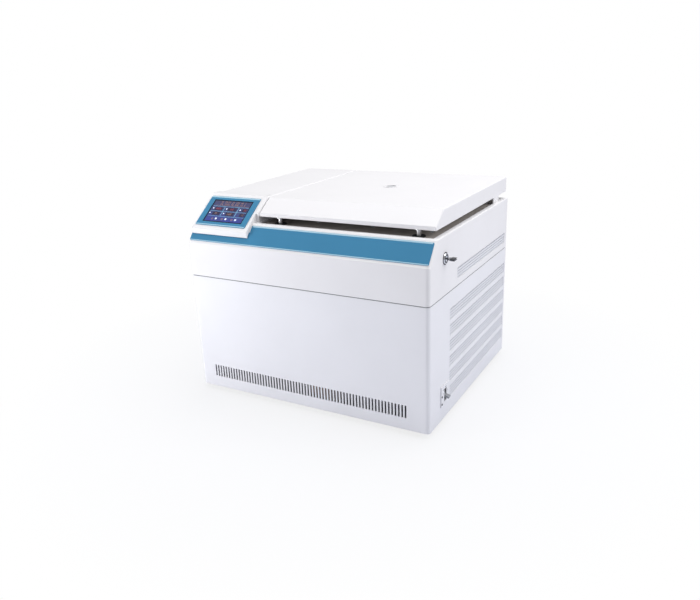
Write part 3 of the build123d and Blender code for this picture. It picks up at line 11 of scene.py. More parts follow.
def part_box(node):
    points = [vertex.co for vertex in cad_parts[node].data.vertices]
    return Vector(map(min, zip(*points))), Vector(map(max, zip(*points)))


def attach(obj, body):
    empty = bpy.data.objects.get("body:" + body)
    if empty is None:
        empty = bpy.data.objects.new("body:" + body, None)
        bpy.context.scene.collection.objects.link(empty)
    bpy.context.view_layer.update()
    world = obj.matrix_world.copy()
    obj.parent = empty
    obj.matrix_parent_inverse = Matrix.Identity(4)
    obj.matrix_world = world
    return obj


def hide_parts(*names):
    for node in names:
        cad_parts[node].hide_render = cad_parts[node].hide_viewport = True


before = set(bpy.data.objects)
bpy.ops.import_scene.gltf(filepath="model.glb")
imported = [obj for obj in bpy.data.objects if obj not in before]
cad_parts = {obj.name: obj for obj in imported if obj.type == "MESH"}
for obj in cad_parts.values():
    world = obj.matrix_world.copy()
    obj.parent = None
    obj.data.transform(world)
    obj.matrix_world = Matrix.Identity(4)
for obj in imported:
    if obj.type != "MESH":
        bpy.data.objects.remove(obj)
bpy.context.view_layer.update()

log = logging.getLogger("centrifuge")
MM = 0.001


def linear(red: float, green: float, blue: float) -> tuple[float, float, float, float]:
    """Turns a display colour of 0 to 255 into the linear colour that a socket takes.

    Args:
        red: red, 0 to 255.
        green: green, 0 to 255.
        blue: blue, 0 to 255.

    Returns:
        The linear colour with an alpha of 1.
    """
    def one(value: float) -> float:
        """Returns one channel made linear."""
        part = value / 255.0
        return part / 12.92 if part <= 0.04045 else ((part + 0.055) / 1.055) ** 2.4

    return (one(red), one(green), one(blue), 1.0)


class Grain(Enum):
    """The fine pattern of a surface."""

    FINE = "fine"
    BRUSHED_X = "brushed_x"
    BRUSHED_Z = "brushed_z"
    TURNED = "turned"
    CAST = "cast"
    RUBBER = "rubber"
    FOAM = "foam"


@dataclass(frozen=True)
class Finish:
    """How one surface looks: its colour, sheen, grain, rounding and wear."""

    name: str
    colour: tuple[float, float, float]
    rough: float = 0.4
    metal: float = 0.0
    grain: Grain = Grain.FINE
    grain_size: float = 900.0
    bump: float = 0.05
    mottle: float = 0.03
    mottle_size: float = 7.0
    edge_round: float = 0.8
    wear: float = 0.12
    wear_colour: tuple[float, float, float] = (245.0, 245.0, 245.0)
    clear: float = 0.0
    glow: float = 0.0
    gloss: float = 0.5


class Graph:
    """A small helper that adds and links the nodes of one material."""

    def __init__(self, name: str) -> None:
        """Makes the material and empties its node tree.

        Args:
            name: the material's name.
        """
        self.material = bpy.data.materials.new(name)
        self.material.use_nodes = True
        self.tree = self.material.node_tree
        self.tree.nodes.clear()

    def add(self, kind: str, **sockets: object) -> bpy.types.Node:
        """Adds a node and sets or links its sockets.

        Args:
            kind: the node's type name.
            sockets: values or output sockets by input name, with _ for a space. A name that starts with
                n followed by digits is an input's number.

        Returns:
            The new node.
        """
        node = self.tree.nodes.new(kind)
        for key, value in sockets.items():
            number = key[1:]
            by_number = key[0] == "n" and number.isdigit()
            target = node.inputs[int(number) if by_number else key.replace("_", " ")]
            if isinstance(value, bpy.types.NodeSocket):
                self.tree.links.new(value, target)
            else:
                target.default_value = value
        return node

    def math(self, operation: str, first: object, second: object = 0.0) -> bpy.types.NodeSocket:
        """Adds a maths node and returns its result."""
        node = self.add("ShaderNodeMath", n0=first, n1=second)
        node.operation = operation
        return node.outputs[0]

    def ramp(
        self, value: object, low: float, high: float, start: float, end: float
    ) -> bpy.types.NodeSocket:
        """Maps a value from low..high to start..end and returns the result."""
        node = self.add(
            "ShaderNodeMapRange", Value=value, From_Min=low, From_Max=high, To_Min=start, To_Max=end,
        )
        return node.outputs[0]

    def mix(self, factor: object, first: object, second: object) -> bpy.types.NodeSocket:
        """Mixes two colours and returns the result."""
        node = self.tree.nodes.new("ShaderNodeMix")
        node.data_type = "RGBA"
        for index, value in ((0, factor), (6, first), (7, second)):
            if isinstance(value, bpy.types.NodeSocket):
                self.tree.links.new(value, node.inputs[index])
            else:
                node.inputs[index].default_value = value
        return node.outputs[2]


class Paintbox:
    """Builds each finish once and hands out its material."""

    STRETCH = {
        Grain.BRUSHED_X: (0.03, 1.0, 1.0),
        Grain.BRUSHED_Z: (1.0, 1.0, 0.03),
    }

    def __init__(self) -> None:
        """Starts with no materials."""
        self.made: dict[str, bpy.types.Material] = {}

    def get(self, finish: Finish) -> bpy.types.Material:
        """Returns the finish's material, built on first use."""
        if finish.name not in self.made:
            self.made[finish.name] = self.build(finish)
        return self.made[finish.name]

    def grain(self, graph: Graph, finish: Finish, place: bpy.types.NodeSocket) -> bpy.types.NodeSocket:
        """Adds the finish's fine pattern.

        Args:
            graph: the material being built.
            finish: the finish.
            place: the object coordinates.

        Returns:
            The pattern's height, about 0 to 1.
        """
        if finish.grain == Grain.TURNED:
            centre = graph.add("ShaderNodeMapping", Vector=place, Location=(-0.078, -0.0545, 0.0))
            wave = graph.add(
                "ShaderNodeTexWave", Vector=centre.outputs[0], Scale=finish.grain_size, Distortion=0.6,
            )
            wave.wave_type = "RINGS"
            wave.rings_direction = "Z"
            return wave.outputs[1]
        if finish.grain in (Grain.CAST, Grain.FOAM, Grain.RUBBER):
            cells = graph.add("ShaderNodeTexVoronoi", Vector=place, Scale=finish.grain_size)
            return cells.outputs[0]
        stretch = self.STRETCH.get(finish.grain, (1.0, 1.0, 1.0))
        mapped = graph.add("ShaderNodeMapping", Vector=place, Scale=stretch)
        noise = graph.add(
            "ShaderNodeTexNoise", Vector=mapped.outputs[0], Scale=finish.grain_size, Detail=3.0,
        )
        return noise.outputs[0]

    def build(self, finish: Finish) -> bpy.types.Material:
        """Builds a finish: mottled colour, worn edges, varied sheen, grain and rounded edges.

        Args:
            finish: the finish to build.

        Returns:
            The material.
        """
        graph = Graph(finish.name)
        place = graph.add("ShaderNodeTexCoord").outputs["Object"]
        height = self.grain(graph, finish, place)
        cloud = graph.add("ShaderNodeTexNoise", Vector=place, Scale=finish.mottle_size, Detail=4.0)
        broad = cloud.outputs[0]
        base = linear(*finish.colour)
        dark = tuple(c * (1 - finish.mottle) for c in base[:3]) + (1.0,)
        light = tuple(min(c * (1 + finish.mottle), 1.0) for c in base[:3]) + (1.0,)
        colour = graph.mix(graph.ramp(broad, 0.35, 0.65, 0.0, 1.0), dark, light)
        shape = graph.add("ShaderNodeNewGeometry")
        smooth = None
        if finish.edge_round > 0:
            smooth = graph.add("ShaderNodeBevel", Radius=finish.edge_round * MM)
            smooth.samples = 4
            turn = graph.tree.nodes.new("ShaderNodeVectorMath")
            turn.operation = "DOT_PRODUCT"
            graph.tree.links.new(smooth.outputs[0], turn.inputs[0])
            graph.tree.links.new(shape.outputs["Normal"], turn.inputs[1])
            edge = graph.ramp(turn.outputs["Value"], 0.995, 0.85, 0.0, finish.wear)
            colour = graph.mix(edge, colour, linear(*finish.wear_colour))
        smoothest, roughest = max(finish.rough - 0.06, 0.02), min(finish.rough + 0.06, 1.0)
        rough = graph.ramp(height, 0.3, 0.7, smoothest, roughest)
        bump = graph.add("ShaderNodeBump", Height=height, Strength=finish.bump, Distance=0.0004)
        if smooth is not None:
            graph.tree.links.new(smooth.outputs[0], bump.inputs["Normal"])
        body = graph.add(
            "ShaderNodeBsdfPrincipled",
            Base_Color=colour,
            Roughness=rough,
            Metallic=finish.metal,
            Normal=bump.outputs[0],
            Transmission_Weight=finish.clear,
            Specular_IOR_Level=finish.gloss,
        )
        if finish.glow > 0:
            graph.tree.links.new(colour, body.inputs["Emission Color"])
            body.inputs["Emission Strength"].default_value = finish.glow
        graph.add("ShaderNodeOutputMaterial", Surface=body.outputs[0])
        return graph.material

    def screen(self, name: str, low: float, high: float) -> bpy.types.Material:
        """Builds the lit glass: blue at the foot, violet and darker at the top.

        Args:
            name: the material's name.
            low: height of the glass's foot, in metres.
            high: height of its top, in metres.

        Returns:
            The material.
        """
        graph = Graph(name)
        place = graph.add("ShaderNodeTexCoord").outputs["Object"]
        split = graph.add("ShaderNodeSeparateXYZ", Vector=place)
        up = graph.ramp(split.outputs[2], low, high, 0.0, 1.0)
        noise = graph.add("ShaderNodeTexNoise", Vector=place, Scale=60.0, Detail=2.0)
        up = graph.math("ADD", up, graph.ramp(noise.outputs[0], 0.3, 0.7, -0.12, 0.12))
        ramp = graph.add("ShaderNodeValToRGB", Fac=up)
        stops = ramp.color_ramp.elements
        stops[0].position, stops[0].color = 0.05, linear(44, 54, 128)
        stops[1].position, stops[1].color = 0.95, linear(56, 56, 88)
        middle = stops.new(0.5)
        middle.color = linear(52, 62, 106)
        body = graph.add(
            "ShaderNodeBsdfPrincipled",
            Base_Color=ramp.outputs[0],
            Roughness=graph.ramp(noise.outputs[0], 0.3, 0.7, 0.12, 0.2),
            Coat_Weight=0.6,
            Coat_Roughness=0.05,
            Emission_Color=ramp.outputs[0],
            Emission_Strength=0.35,
        )
        graph.add("ShaderNodeOutputMaterial", Surface=body.outputs[0])
        return graph.material


PAINT = Finish(
    "white_paint", (228, 228, 232), rough=0.42, bump=0.1, grain_size=1400, mottle=0.012,
    edge_round=1.2,
)
PLASTIC = Finish(
    "white_plastic", (230, 229, 231), rough=0.42, bump=0.06, grain_size=1800, mottle=0.01,
    edge_round=1.5, gloss=0.3,
)
LEVER = Finish("grey_plastic", (150, 152, 157), rough=0.35, bump=0.05, mottle=0.04, edge_round=0.5)
BLUE = Finish(
    "blue_film", (64, 128, 165), rough=0.42, bump=0.03, mottle=0.03, edge_round=0.3,
    wear_colour=(150, 190, 215), gloss=0.2,
)
BLUE_LINE = Finish("blue_line", (166, 202, 218), rough=0.4, bump=0.02, edge_round=0.0, gloss=0.3)
DECK = Finish(
    "deck_grey", (184, 176, 170), rough=0.55, bump=0.12, grain_size=700, mottle=0.06, wear=0.05,
)
# Colour of the painted shadow strips under the top edge of each vent band.
SHADE = Finish("vent_shade", (96, 98, 108), rough=0.7, bump=0.05, edge_round=0.0)
# Dark grey of the painted shade line along the seam between the cabinet and the upper casing.
SEAM = Finish("seam_shade_grey", (98, 100, 106), rough=0.7, bump=0.05, edge_round=0.0)
SEAL = Finish(
    "seal_grey", (124, 119, 115), rough=0.7, grain=Grain.RUBBER, grain_size=900, bump=0.15,
    mottle=0.08,
)
GUNMETAL = Finish(
    "gunmetal", (112, 114, 120), rough=0.26, metal=0.9, bump=0.04, mottle=0.06, edge_round=0.4,
    wear=0.4,
)
LINER = Finish(
    "liner_grey", (168, 170, 174), rough=0.5, bump=0.15, grain=Grain.CAST, grain_size=600,
)
STEEL = Finish(
    "stainless", (190, 190, 192), rough=0.28, metal=1.0, grain=Grain.TURNED, grain_size=180,
    bump=0.06, wear=0.1,
)
BOWL = Finish(
    "bowl_steel", (222, 222, 224), rough=0.42, metal=0.85, grain=Grain.TURNED, grain_size=150,
    bump=0.05, wear=0.1,
)
ZINC = Finish(
    "zinc_sheet", (168, 172, 178), rough=0.42, metal=0.9, mottle=0.12, mottle_size=60, bump=0.06,
)
CHROME = Finish(
    "chrome", (214, 216, 220), rough=0.14, metal=1.0, bump=0.01, mottle=0.02, edge_round=0.4,
)
ANODISED = Finish(
    "anodised", (96, 102, 112), rough=0.34, metal=0.85, grain=Grain.TURNED, grain_size=260,
    bump=0.05, mottle=0.04, wear=0.3, wear_colour=(180, 184, 190),
)
ALUMINIUM = Finish(
    "aluminium", (196, 198, 202), rough=0.34, metal=1.0, grain=Grain.BRUSHED_X, bump=0.08,
    mottle=0.05,
)
CAST_BLACK = Finish(
    "black_paint", (34, 35, 38), rough=0.45, grain=Grain.CAST, grain_size=500, bump=0.2,
    mottle=0.1, wear=0.3, wear_colour=(120, 118, 114),
)
RUBBER = Finish(
    "black_rubber", (30, 30, 32), rough=0.75, grain=Grain.RUBBER, grain_size=900, bump=0.15,
    mottle=0.15,
)
BLACK = Finish(
    "black_plastic", (26, 27, 30), rough=0.42, bump=0.1, grain_size=1500, mottle=0.08,
    wear_colour=(90, 90, 94),
)
PANE = Finish(
    "milky_pane", (216, 218, 222), rough=0.22, bump=0.0, mottle=0.01, clear=0.25, edge_round=0.0,
)
FOAM = Finish(
    "foam", (206, 190, 150), rough=0.9, grain=Grain.FOAM, grain_size=420, bump=0.5, mottle=0.12,
    wear=0.0,
)
COPPER = Finish(
    "copper", (196, 120, 84), rough=0.3, metal=1.0, bump=0.05, mottle=0.15, mottle_size=40,
)
BOARD = Finish(
    "green_board", (34, 92, 62), rough=0.4, bump=0.12, grain=Grain.BRUSHED_X, mottle=0.15,
    mottle_size=80,
)
VENT = Finish(
    "vent_sheet", (218, 219, 224), rough=0.45, bump=0.08, grain_size=1400, mottle=0.02,
    edge_round=0.0,
)
INK = Finish("screen_border", (16, 24, 48), rough=0.25, bump=0.0, edge_round=0.0)
CYAN = Finish("screen_cyan", (120, 178, 208), rough=0.4, bump=0.0, edge_round=0.0, glow=0.3)
WHITE_MARK = Finish("screen_white", (214, 222, 240), rough=0.4, bump=0.0, edge_round=0.0, glow=0.5)
RED_MARK = Finish("screen_red", (150, 66, 84), rough=0.4, bump=0.0, edge_round=0.0, glow=0.3)
DIM_MARK = Finish("screen_dim", (140, 112, 108), rough=0.4, bump=0.0, edge_round=0.0, glow=0.3)
BOX_DARK = Finish("screen_box", (44, 38, 62), rough=0.3, bump=0.0, edge_round=0.0, glow=0.2)
LABEL = Finish(
    "label_silver", (196, 198, 200), rough=0.35, metal=0.6, bump=0.03, mottle=0.04, edge_round=0.0,
)
PRINT = Finish("print_black", (28, 28, 30), rough=0.5, bump=0.0, edge_round=0.0)
WINDING = Finish(
    "winding", (176, 98, 52), rough=0.35, metal=0.8, grain=Grain.BRUSHED_Z, grain_size=700,
    bump=0.5,
)

CAD_FINISHES: dict[Finish, tuple[str, ...]] = {
    PAINT: ("lower_cabinet", "rear_panel", "support_frame", "switch_plate"),
    PLASTIC: ("upper_housing", "side_cover", "pod_housing", "lid_shell", "port_tube"),
    BLUE: ("front_strip", "pod_bezel"),
    DECK: ("deck_plate",),
    LINER: ("lid_liner",),
    BOWL: ("chamber_bowl",),
    STEEL: ("strikes", "latch_hook_left", "latch_hook_right", "hinge_pins", "hinge_arms"),
    ZINC: ("base_plate", "guard_ring", "motor_plate", "hinge_brackets", "latch_brackets", "fan_shroud"),
    CHROME: ("lock_barrel", "lock_plug", "spindle"),
    GUNMETAL: ("key",),
    LEVER: ("switch_lever",),
    ANODISED: ("rotor",),
    ALUMINIUM: ("rotor_nut", "condenser", "motor_drive", "temperature_probe"),
    CAST_BLACK: ("compressor", "motor"),
    RUBBER: ("feet", "dampers", "grommets", "drain_tube", "spindle_bearing"),
    SEAL: ("chamber_seal",),
    BLACK: ("latch_sockets", "switch_body", "power_inlet", "condenser_fan", "fan_motor", "latch_motors"),
    PANE: ("port_pane",),
    FOAM: ("foam_jacket", "lid_foam"),
    COPPER: ("evaporator", "refrigerant_line"),
    BOARD: ("control_board",),
    WINDING: ("transformer",),
    VENT: ("vent_screen_right", "vent_screen_left", "upper_screens"),
}


@dataclass(frozen=True)
class Place:
    """A flat place that pieces sit on, with its origin and axes in millimetres of the shared frame."""

    origin: tuple[float, float, float]
    across: tuple[float, float, float] = (1.0, 0.0, 0.0)
    up: tuple[float, float, float] = (0.0, 1.0, 0.0)

    def matrix(self) -> Matrix:
        """Returns the matrix from the place's millimetres to the frame's metres."""
        x = Vector(self.across).normalized()
        y = Vector(self.up).normalized()
        z = x.cross(y)
        turn = Matrix((x, y, z)).transposed().to_4x4()
        return Matrix.Scale(MM, 4) @ Matrix.Translation(self.origin) @ turn


FLAT = Place((0.0, 0.0, 0.0))


class Piece:
    """One new mesh, built from bmesh operators in the millimetres of a place."""

    def __init__(self, name: str, place: Place = FLAT) -> None:
        """Starts an empty mesh.

        Args:
            name: the piece's name.
            place: where the piece's millimetres are measured.
        """
        self.name = name
        self.place = place
        self.bm = bmesh.new()

    def put(self, verts: list, centre: tuple[float, float, float], turn: Matrix | None = None) -> list:
        """Turns and moves new vertices to their centre, and returns them."""
        if turn is not None:
            bmesh.ops.transform(self.bm, matrix=turn.to_4x4(), verts=verts)
        bmesh.ops.translate(self.bm, vec=Vector(centre), verts=verts)
        return verts

    def block(
        self,
        centre: tuple[float, float, float],
        size: tuple[float, float, float],
        bevel: float = 0.0,
        turn: Matrix | None = None,
    ) -> "Piece":
        """Adds a box.

        Args:
            centre: the box's middle.
            size: its three sides.
            bevel: width of its rounded edges.
            turn: how it is turned about its middle.

        Returns:
            The piece.
        """
        before = set(self.bm.verts)
        made = bmesh.ops.create_cube(self.bm, size=1.0)["verts"]
        bmesh.ops.scale(self.bm, vec=Vector(size), verts=made)
        if bevel > 0:
            edges = list({e for v in made for e in v.link_edges})
            bmesh.ops.bevel(
                self.bm, geom=edges, offset=bevel, segments=2, profile=0.5, affect="EDGES", material=-1,
            )
            made = [v for v in self.bm.verts if v not in before]
        self.put(made, centre, turn)
        return self

    def disc(
        self,
        centre: tuple[float, float, float],
        radius: float,
        height: float,
        sides: int = 32,
        top: float | None = None,
        turn: Matrix | None = None,
    ) -> "Piece":
        """Adds a cylinder or a cone that stands along the place's normal.

        Args:
            centre: its middle.
            radius: its radius.
            height: its height.
            sides: how many sides it has.
            top: its radius at the top, where that differs.
            turn: how it is turned about its middle.

        Returns:
            The piece.
        """
        upper = radius if top is None else top
        made = bmesh.ops.create_cone(
            self.bm, cap_ends=True, segments=sides, radius1=radius, radius2=upper, depth=height
        )["verts"]
        self.put(made, centre, turn)
        return self

    def ring(
        self,
        centre: tuple[float, float, float],
        inner: float,
        outer: float,
        height: float,
        steps: int = 48,
        turn: Matrix | None = None,
    ) -> "Piece":
        """Adds a flat ring by spinning its section.

        Args:
            centre: the ring's middle.
            inner: inner radius.
            outer: outer radius.
            height: its height.
            steps: how many steps the spin takes.
            turn: how it is turned about its middle.

        Returns:
            The piece.
        """
        section = bmesh.ops.create_circle(self.bm, segments=4, radius=math.sqrt(0.5))["verts"]
        square = Matrix.Rotation(math.pi / 2, 3, "X") @ Matrix.Rotation(math.pi / 4, 3, "Z")
        bmesh.ops.transform(self.bm, matrix=square.to_4x4(), verts=section)
        bmesh.ops.scale(self.bm, vec=(outer - inner, 1.0, height), verts=section)
        bmesh.ops.translate(self.bm, vec=((inner + outer) / 2, 0, 0), verts=section)
        edges = list({e for v in section for e in v.link_edges})
        before = set(self.bm.verts) - set(section)
        bmesh.ops.spin(
            self.bm, geom=section + edges, cent=(0, 0, 0), axis=(0, 0, 1), dvec=(0, 0, 0),
            angle=2 * math.pi, steps=steps, use_merge=True,
        )
        made = [v for v in self.bm.verts if v not in before]
        self.put(made, centre, turn)
        return self

    def wire(self, points: list[tuple[float, float, float]], radius: float, sides: int = 8) -> "Piece":
        """Adds a round wire through a list of points.

        Args:
            points: the points along its middle.
            radius: its radius.
            sides: how many sides it has.

        Returns:
            The piece.
        """
        path = [Vector(p) for p in points]
        last = None
        for i, point in enumerate(path):
            ahead = (path[min(i + 1, len(path) - 1)] - path[max(i - 1, 0)]).normalized()
            turn = Vector((0, 0, 1)).rotation_difference(ahead).to_matrix()
            end = i in (0, len(path) - 1)
            made = bmesh.ops.create_circle(self.bm, cap_ends=end, segments=sides, radius=radius)
            verts = made["verts"]
            self.put(verts, tuple(point), turn)
            loop = list({e for v in verts for e in v.link_edges})
            if last is not None:
                bmesh.ops.bridge_loops(self.bm, edges=last + loop)
            last = loop
        return self

    def text(
        self, words: str, centre: tuple[float, float, float], size: float, thick: float = 0.1
    ) -> "Piece":
        """Adds plain lettering as a mesh.

        Args:
            words: what it says.
            centre: the lettering's middle.
            size: its height.
            thick: how far it stands up.

        Returns:
            The piece.
        """
        curve = bpy.data.curves.new(self.name + "_text", "FONT")
        curve.body = words
        curve.size = size
        curve.align_x = "CENTER"
        curve.align_y = "CENTER"
        curve.extrude = thick / 2
        curve.resolution_u = 3
        holder = bpy.data.objects.new(self.name + "_text", curve)
        bpy.context.scene.collection.objects.link(holder)
        bpy.context.view_layer.update()
        mesh = bpy.data.meshes.new_from_object(holder)
        mesh.transform(Matrix.Translation(centre))
        self.bm.from_mesh(mesh)
        bpy.data.objects.remove(holder)
        bpy.data.curves.remove(curve)
        bpy.data.meshes.remove(mesh)
        return self

    def done(
        self,
        material: bpy.types.Material,
        body: str,
        slot: str,
        replaces: tuple[str, ...] = (),
        smooth: bool = True,
    ) -> bpy.types.Object:
        """Finishes the piece: normals out, its place in its mesh, its material and body.

        Args:
            material: what it is covered with.
            body: the body that it rides on.
            slot: a slot name; not used.
            replaces: the CAD nodes that it stands for.
            smooth: whether shallow angles are shaded smooth.

        Returns:
            The new object.
        """
        bmesh.ops.transform(self.bm, matrix=self.place.matrix(), verts=self.bm.verts[:])
        bmesh.ops.recalc_face_normals(self.bm, faces=self.bm.faces[:])
        mesh = bpy.data.meshes.new(self.name)
        self.bm.to_mesh(mesh)
        self.bm.free()
        mesh.materials.append(material)
        made = bpy.data.objects.new(self.name, mesh)
        bpy.context.scene.collection.objects.link(made)
        if smooth:
            mesh.shade_smooth()
            mesh.set_sharp_from_angle(angle=math.radians(35))
        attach(made, body)
        if replaces:
            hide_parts(*replaces)
        log.info("piece %s rides on %s", self.name, body)
        return made


PAINTS = Paintbox()


def dress_cad() -> None:
    """Gives every CAD node its finish."""
    for finish, nodes in CAD_FINISHES.items():
        for node in nodes:
            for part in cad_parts[node].material_slots:
                part.material = PAINTS.get(finish)
            log.info("node %s is %s", node, finish.name)


@dataclass
class Display:
    """The touch screen, its border and what it shows."""

    left: float = -299.0
    bezel_w: float = 145.0
    bezel_len: float = 91.0
    bezel_low: float = 0.6
    bezel_t: float = 1.6
    screen_w: float = 115.0
    screen_len: float = 70.0
    glass_up: float = 0.8
    slope: float = 36.5
    foot_y: float = -239.0
    foot_z: float = 421.303

    def place(self) -> Place:
        """Returns the slope, with its origin in the middle of the glass."""
        lean = math.radians(self.slope)
        up = (0.0, math.cos(lean), math.sin(lean))
        along = self.bezel_low + self.bezel_len / 2
        middle = self.left + self.bezel_w / 2
        origin = (middle, self.foot_y + up[1] * along, self.foot_z + up[2] * along)
        return Place(origin, (1, 0, 0), up)

    def spot(self, across: float, down: float, rise: float = 0.0) -> tuple[float, float, float]:
        """Turns shares of the glass, from its top left, into millimetres on it."""
        return ((across - 0.5) * self.screen_w, (0.5 - down) * self.screen_len, self.glass_up + rise)

    def build(self) -> None:
        """Builds the borders, the lit glass, its boxes, lines, numbers and icons."""
        low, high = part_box("touch_screen")
        glass = PAINTS.screen("screen_glass", low[2], high[2])
        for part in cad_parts["touch_screen"].material_slots:
            part.material = glass
        place = self.place()
        border = Piece("screen_border", place)
        half_w, half_l, wide = self.screen_w / 2, self.screen_len / 2, 3.2
        for side in (-1, 1):
            border.block((side * (half_w - wide / 2), 0, self.glass_up + 0.1), (wide, 2 * half_l, 0.2))
            spot = (0, side * (half_l - wide / 2), self.glass_up + 0.12)
            border.block(spot, (2 * half_w - 0.2, wide, 0.2))
        border.done(PAINTS.get(INK), "casing", "screen_glass")
        lines = Piece("bezel_lines", place)
        for side, wide in ((-1, 2.2), (1, 3.4)):
            at = side * (self.bezel_len / 2 - 0.8 - wide / 2)
            lines.block((0, at, self.bezel_t + 0.05), (self.bezel_w - 1.6, wide, 0.2))
        lines.done(PAINTS.get(BLUE_LINE), "casing", "blue_film")
        self.show(place)

    def show(self, place: Place) -> None:
        """Builds what the glass shows.

        Args:
            place: the slope, with its origin in the middle of the glass.
        """
        boxes = Piece("screen_boxes", place)
        grid = Piece("screen_grid", place)
        columns = ((0.05, 0.34), (0.39, 0.70), (0.75, 0.97))
        for row, (top, foot) in enumerate(((0.32, 0.49), (0.53, 0.70))):
            for first, last in columns:
                x, y, z = self.spot((first + last) / 2 + 0.03, (top + foot) / 2, 0.05)
                wide = (last - first - 0.1) * self.screen_w
                boxes.block((x, y, z), (wide, (foot - top - 0.03) * self.screen_len, 0.1))
        for at in (0.365, 0.725):
            grid.block(self.spot(at, 0.51, 0.07), (1.0, 0.42 * self.screen_len, 0.14))
        for at in (0.29, 0.51, 0.73):
            grid.block(self.spot(0.51, at, 0.07), (0.92 * self.screen_w, 0.55, 0.14))
        boxes.done(PAINTS.get(BOX_DARK), "casing", "screen_glass")
        grid.done(PAINTS.get(CYAN), "casing", "screen_glass")
        red = Piece("screen_values", place)
        white = Piece("screen_marks", place)
        dim = Piece("screen_header", place)
        for words, across, down in (("4000", 0.22, 0.405), ("4.0", 0.57, 0.405), ("10", 0.9, 0.405)):
            red.text(words, self.spot(across, down, 0.12), 8.0)
        for words, across, down in (("2200", 0.57, 0.615), ("12", 0.9, 0.615), ("00", 0.22, 0.615)):
            dim.text(words, self.spot(across, down, 0.12), 7.0)
        for across, down in ((0.085, 0.39), (0.43, 0.39), (0.78, 0.4), (0.06, 0.6), (0.42, 0.6)):
            white.disc(self.spot(across, down, 0.1), 1.8, 0.2, sides=12)
        for across in (0.3, 0.55, 0.8):
            white.ring(self.spot(across, 0.84, 0.1), 1.4, 2.8, 0.2, steps=20)
            white.disc(self.spot(across, 0.84, 0.1), 1.0, 0.2, sides=12)
            dim.ring(self.spot(across - 0.09, 0.85, 0.1), 1.6, 2.8, 0.2, steps=20)
        for down, line in ((0.1, "01  09:30  25  100  40  1"), (0.2, "02  10:45  40  090  12  0")):
            dim.text(line, self.spot(0.52, down, 0.12), 7.4)
        dim.block(self.spot(0.52, 0.25, 0.08), (0.84 * self.screen_w, 0.6, 0.12))
        red.done(PAINTS.get(RED_MARK), "casing", "screen_glass", smooth=False)
        white.done(PAINTS.get(WHITE_MARK), "casing", "screen_glass")
        dim.done(PAINTS.get(DIM_MARK), "casing", "screen_glass", smooth=False)


@dataclass
class FrontTrim:
    """The fine lines along the blue strip."""

    front_y: float = -259.5
    foot_z: float = 381.3
    run: float = 39.2
    rise: float = 48.5
    half_w: float = 307.0
    low: float = 6.5
    high: float = 57.0
    pod_right: float = -142.0
    film: float = 1.0

    def build(self) -> None:
        """Builds the light line at the top and the foot of the strip."""
        place = Place((0.0, self.front_y, self.foot_z), (1, 0, 0), (0.0, self.run, self.rise))
        lines = Piece("strip_lines", place)
        lines.block((0, self.low + 1.6, self.film + 0.03), (2 * self.half_w - 3, 2.0, 0.16))
        left = self.pod_right + 3
        wide = self.half_w - 3 - left
        lines.block((left + wide / 2, self.high - 1.8, self.film + 0.03), (wide, 3.2, 0.16))
        lines.done(PAINTS.get(BLUE_LINE), "casing", "blue_film")


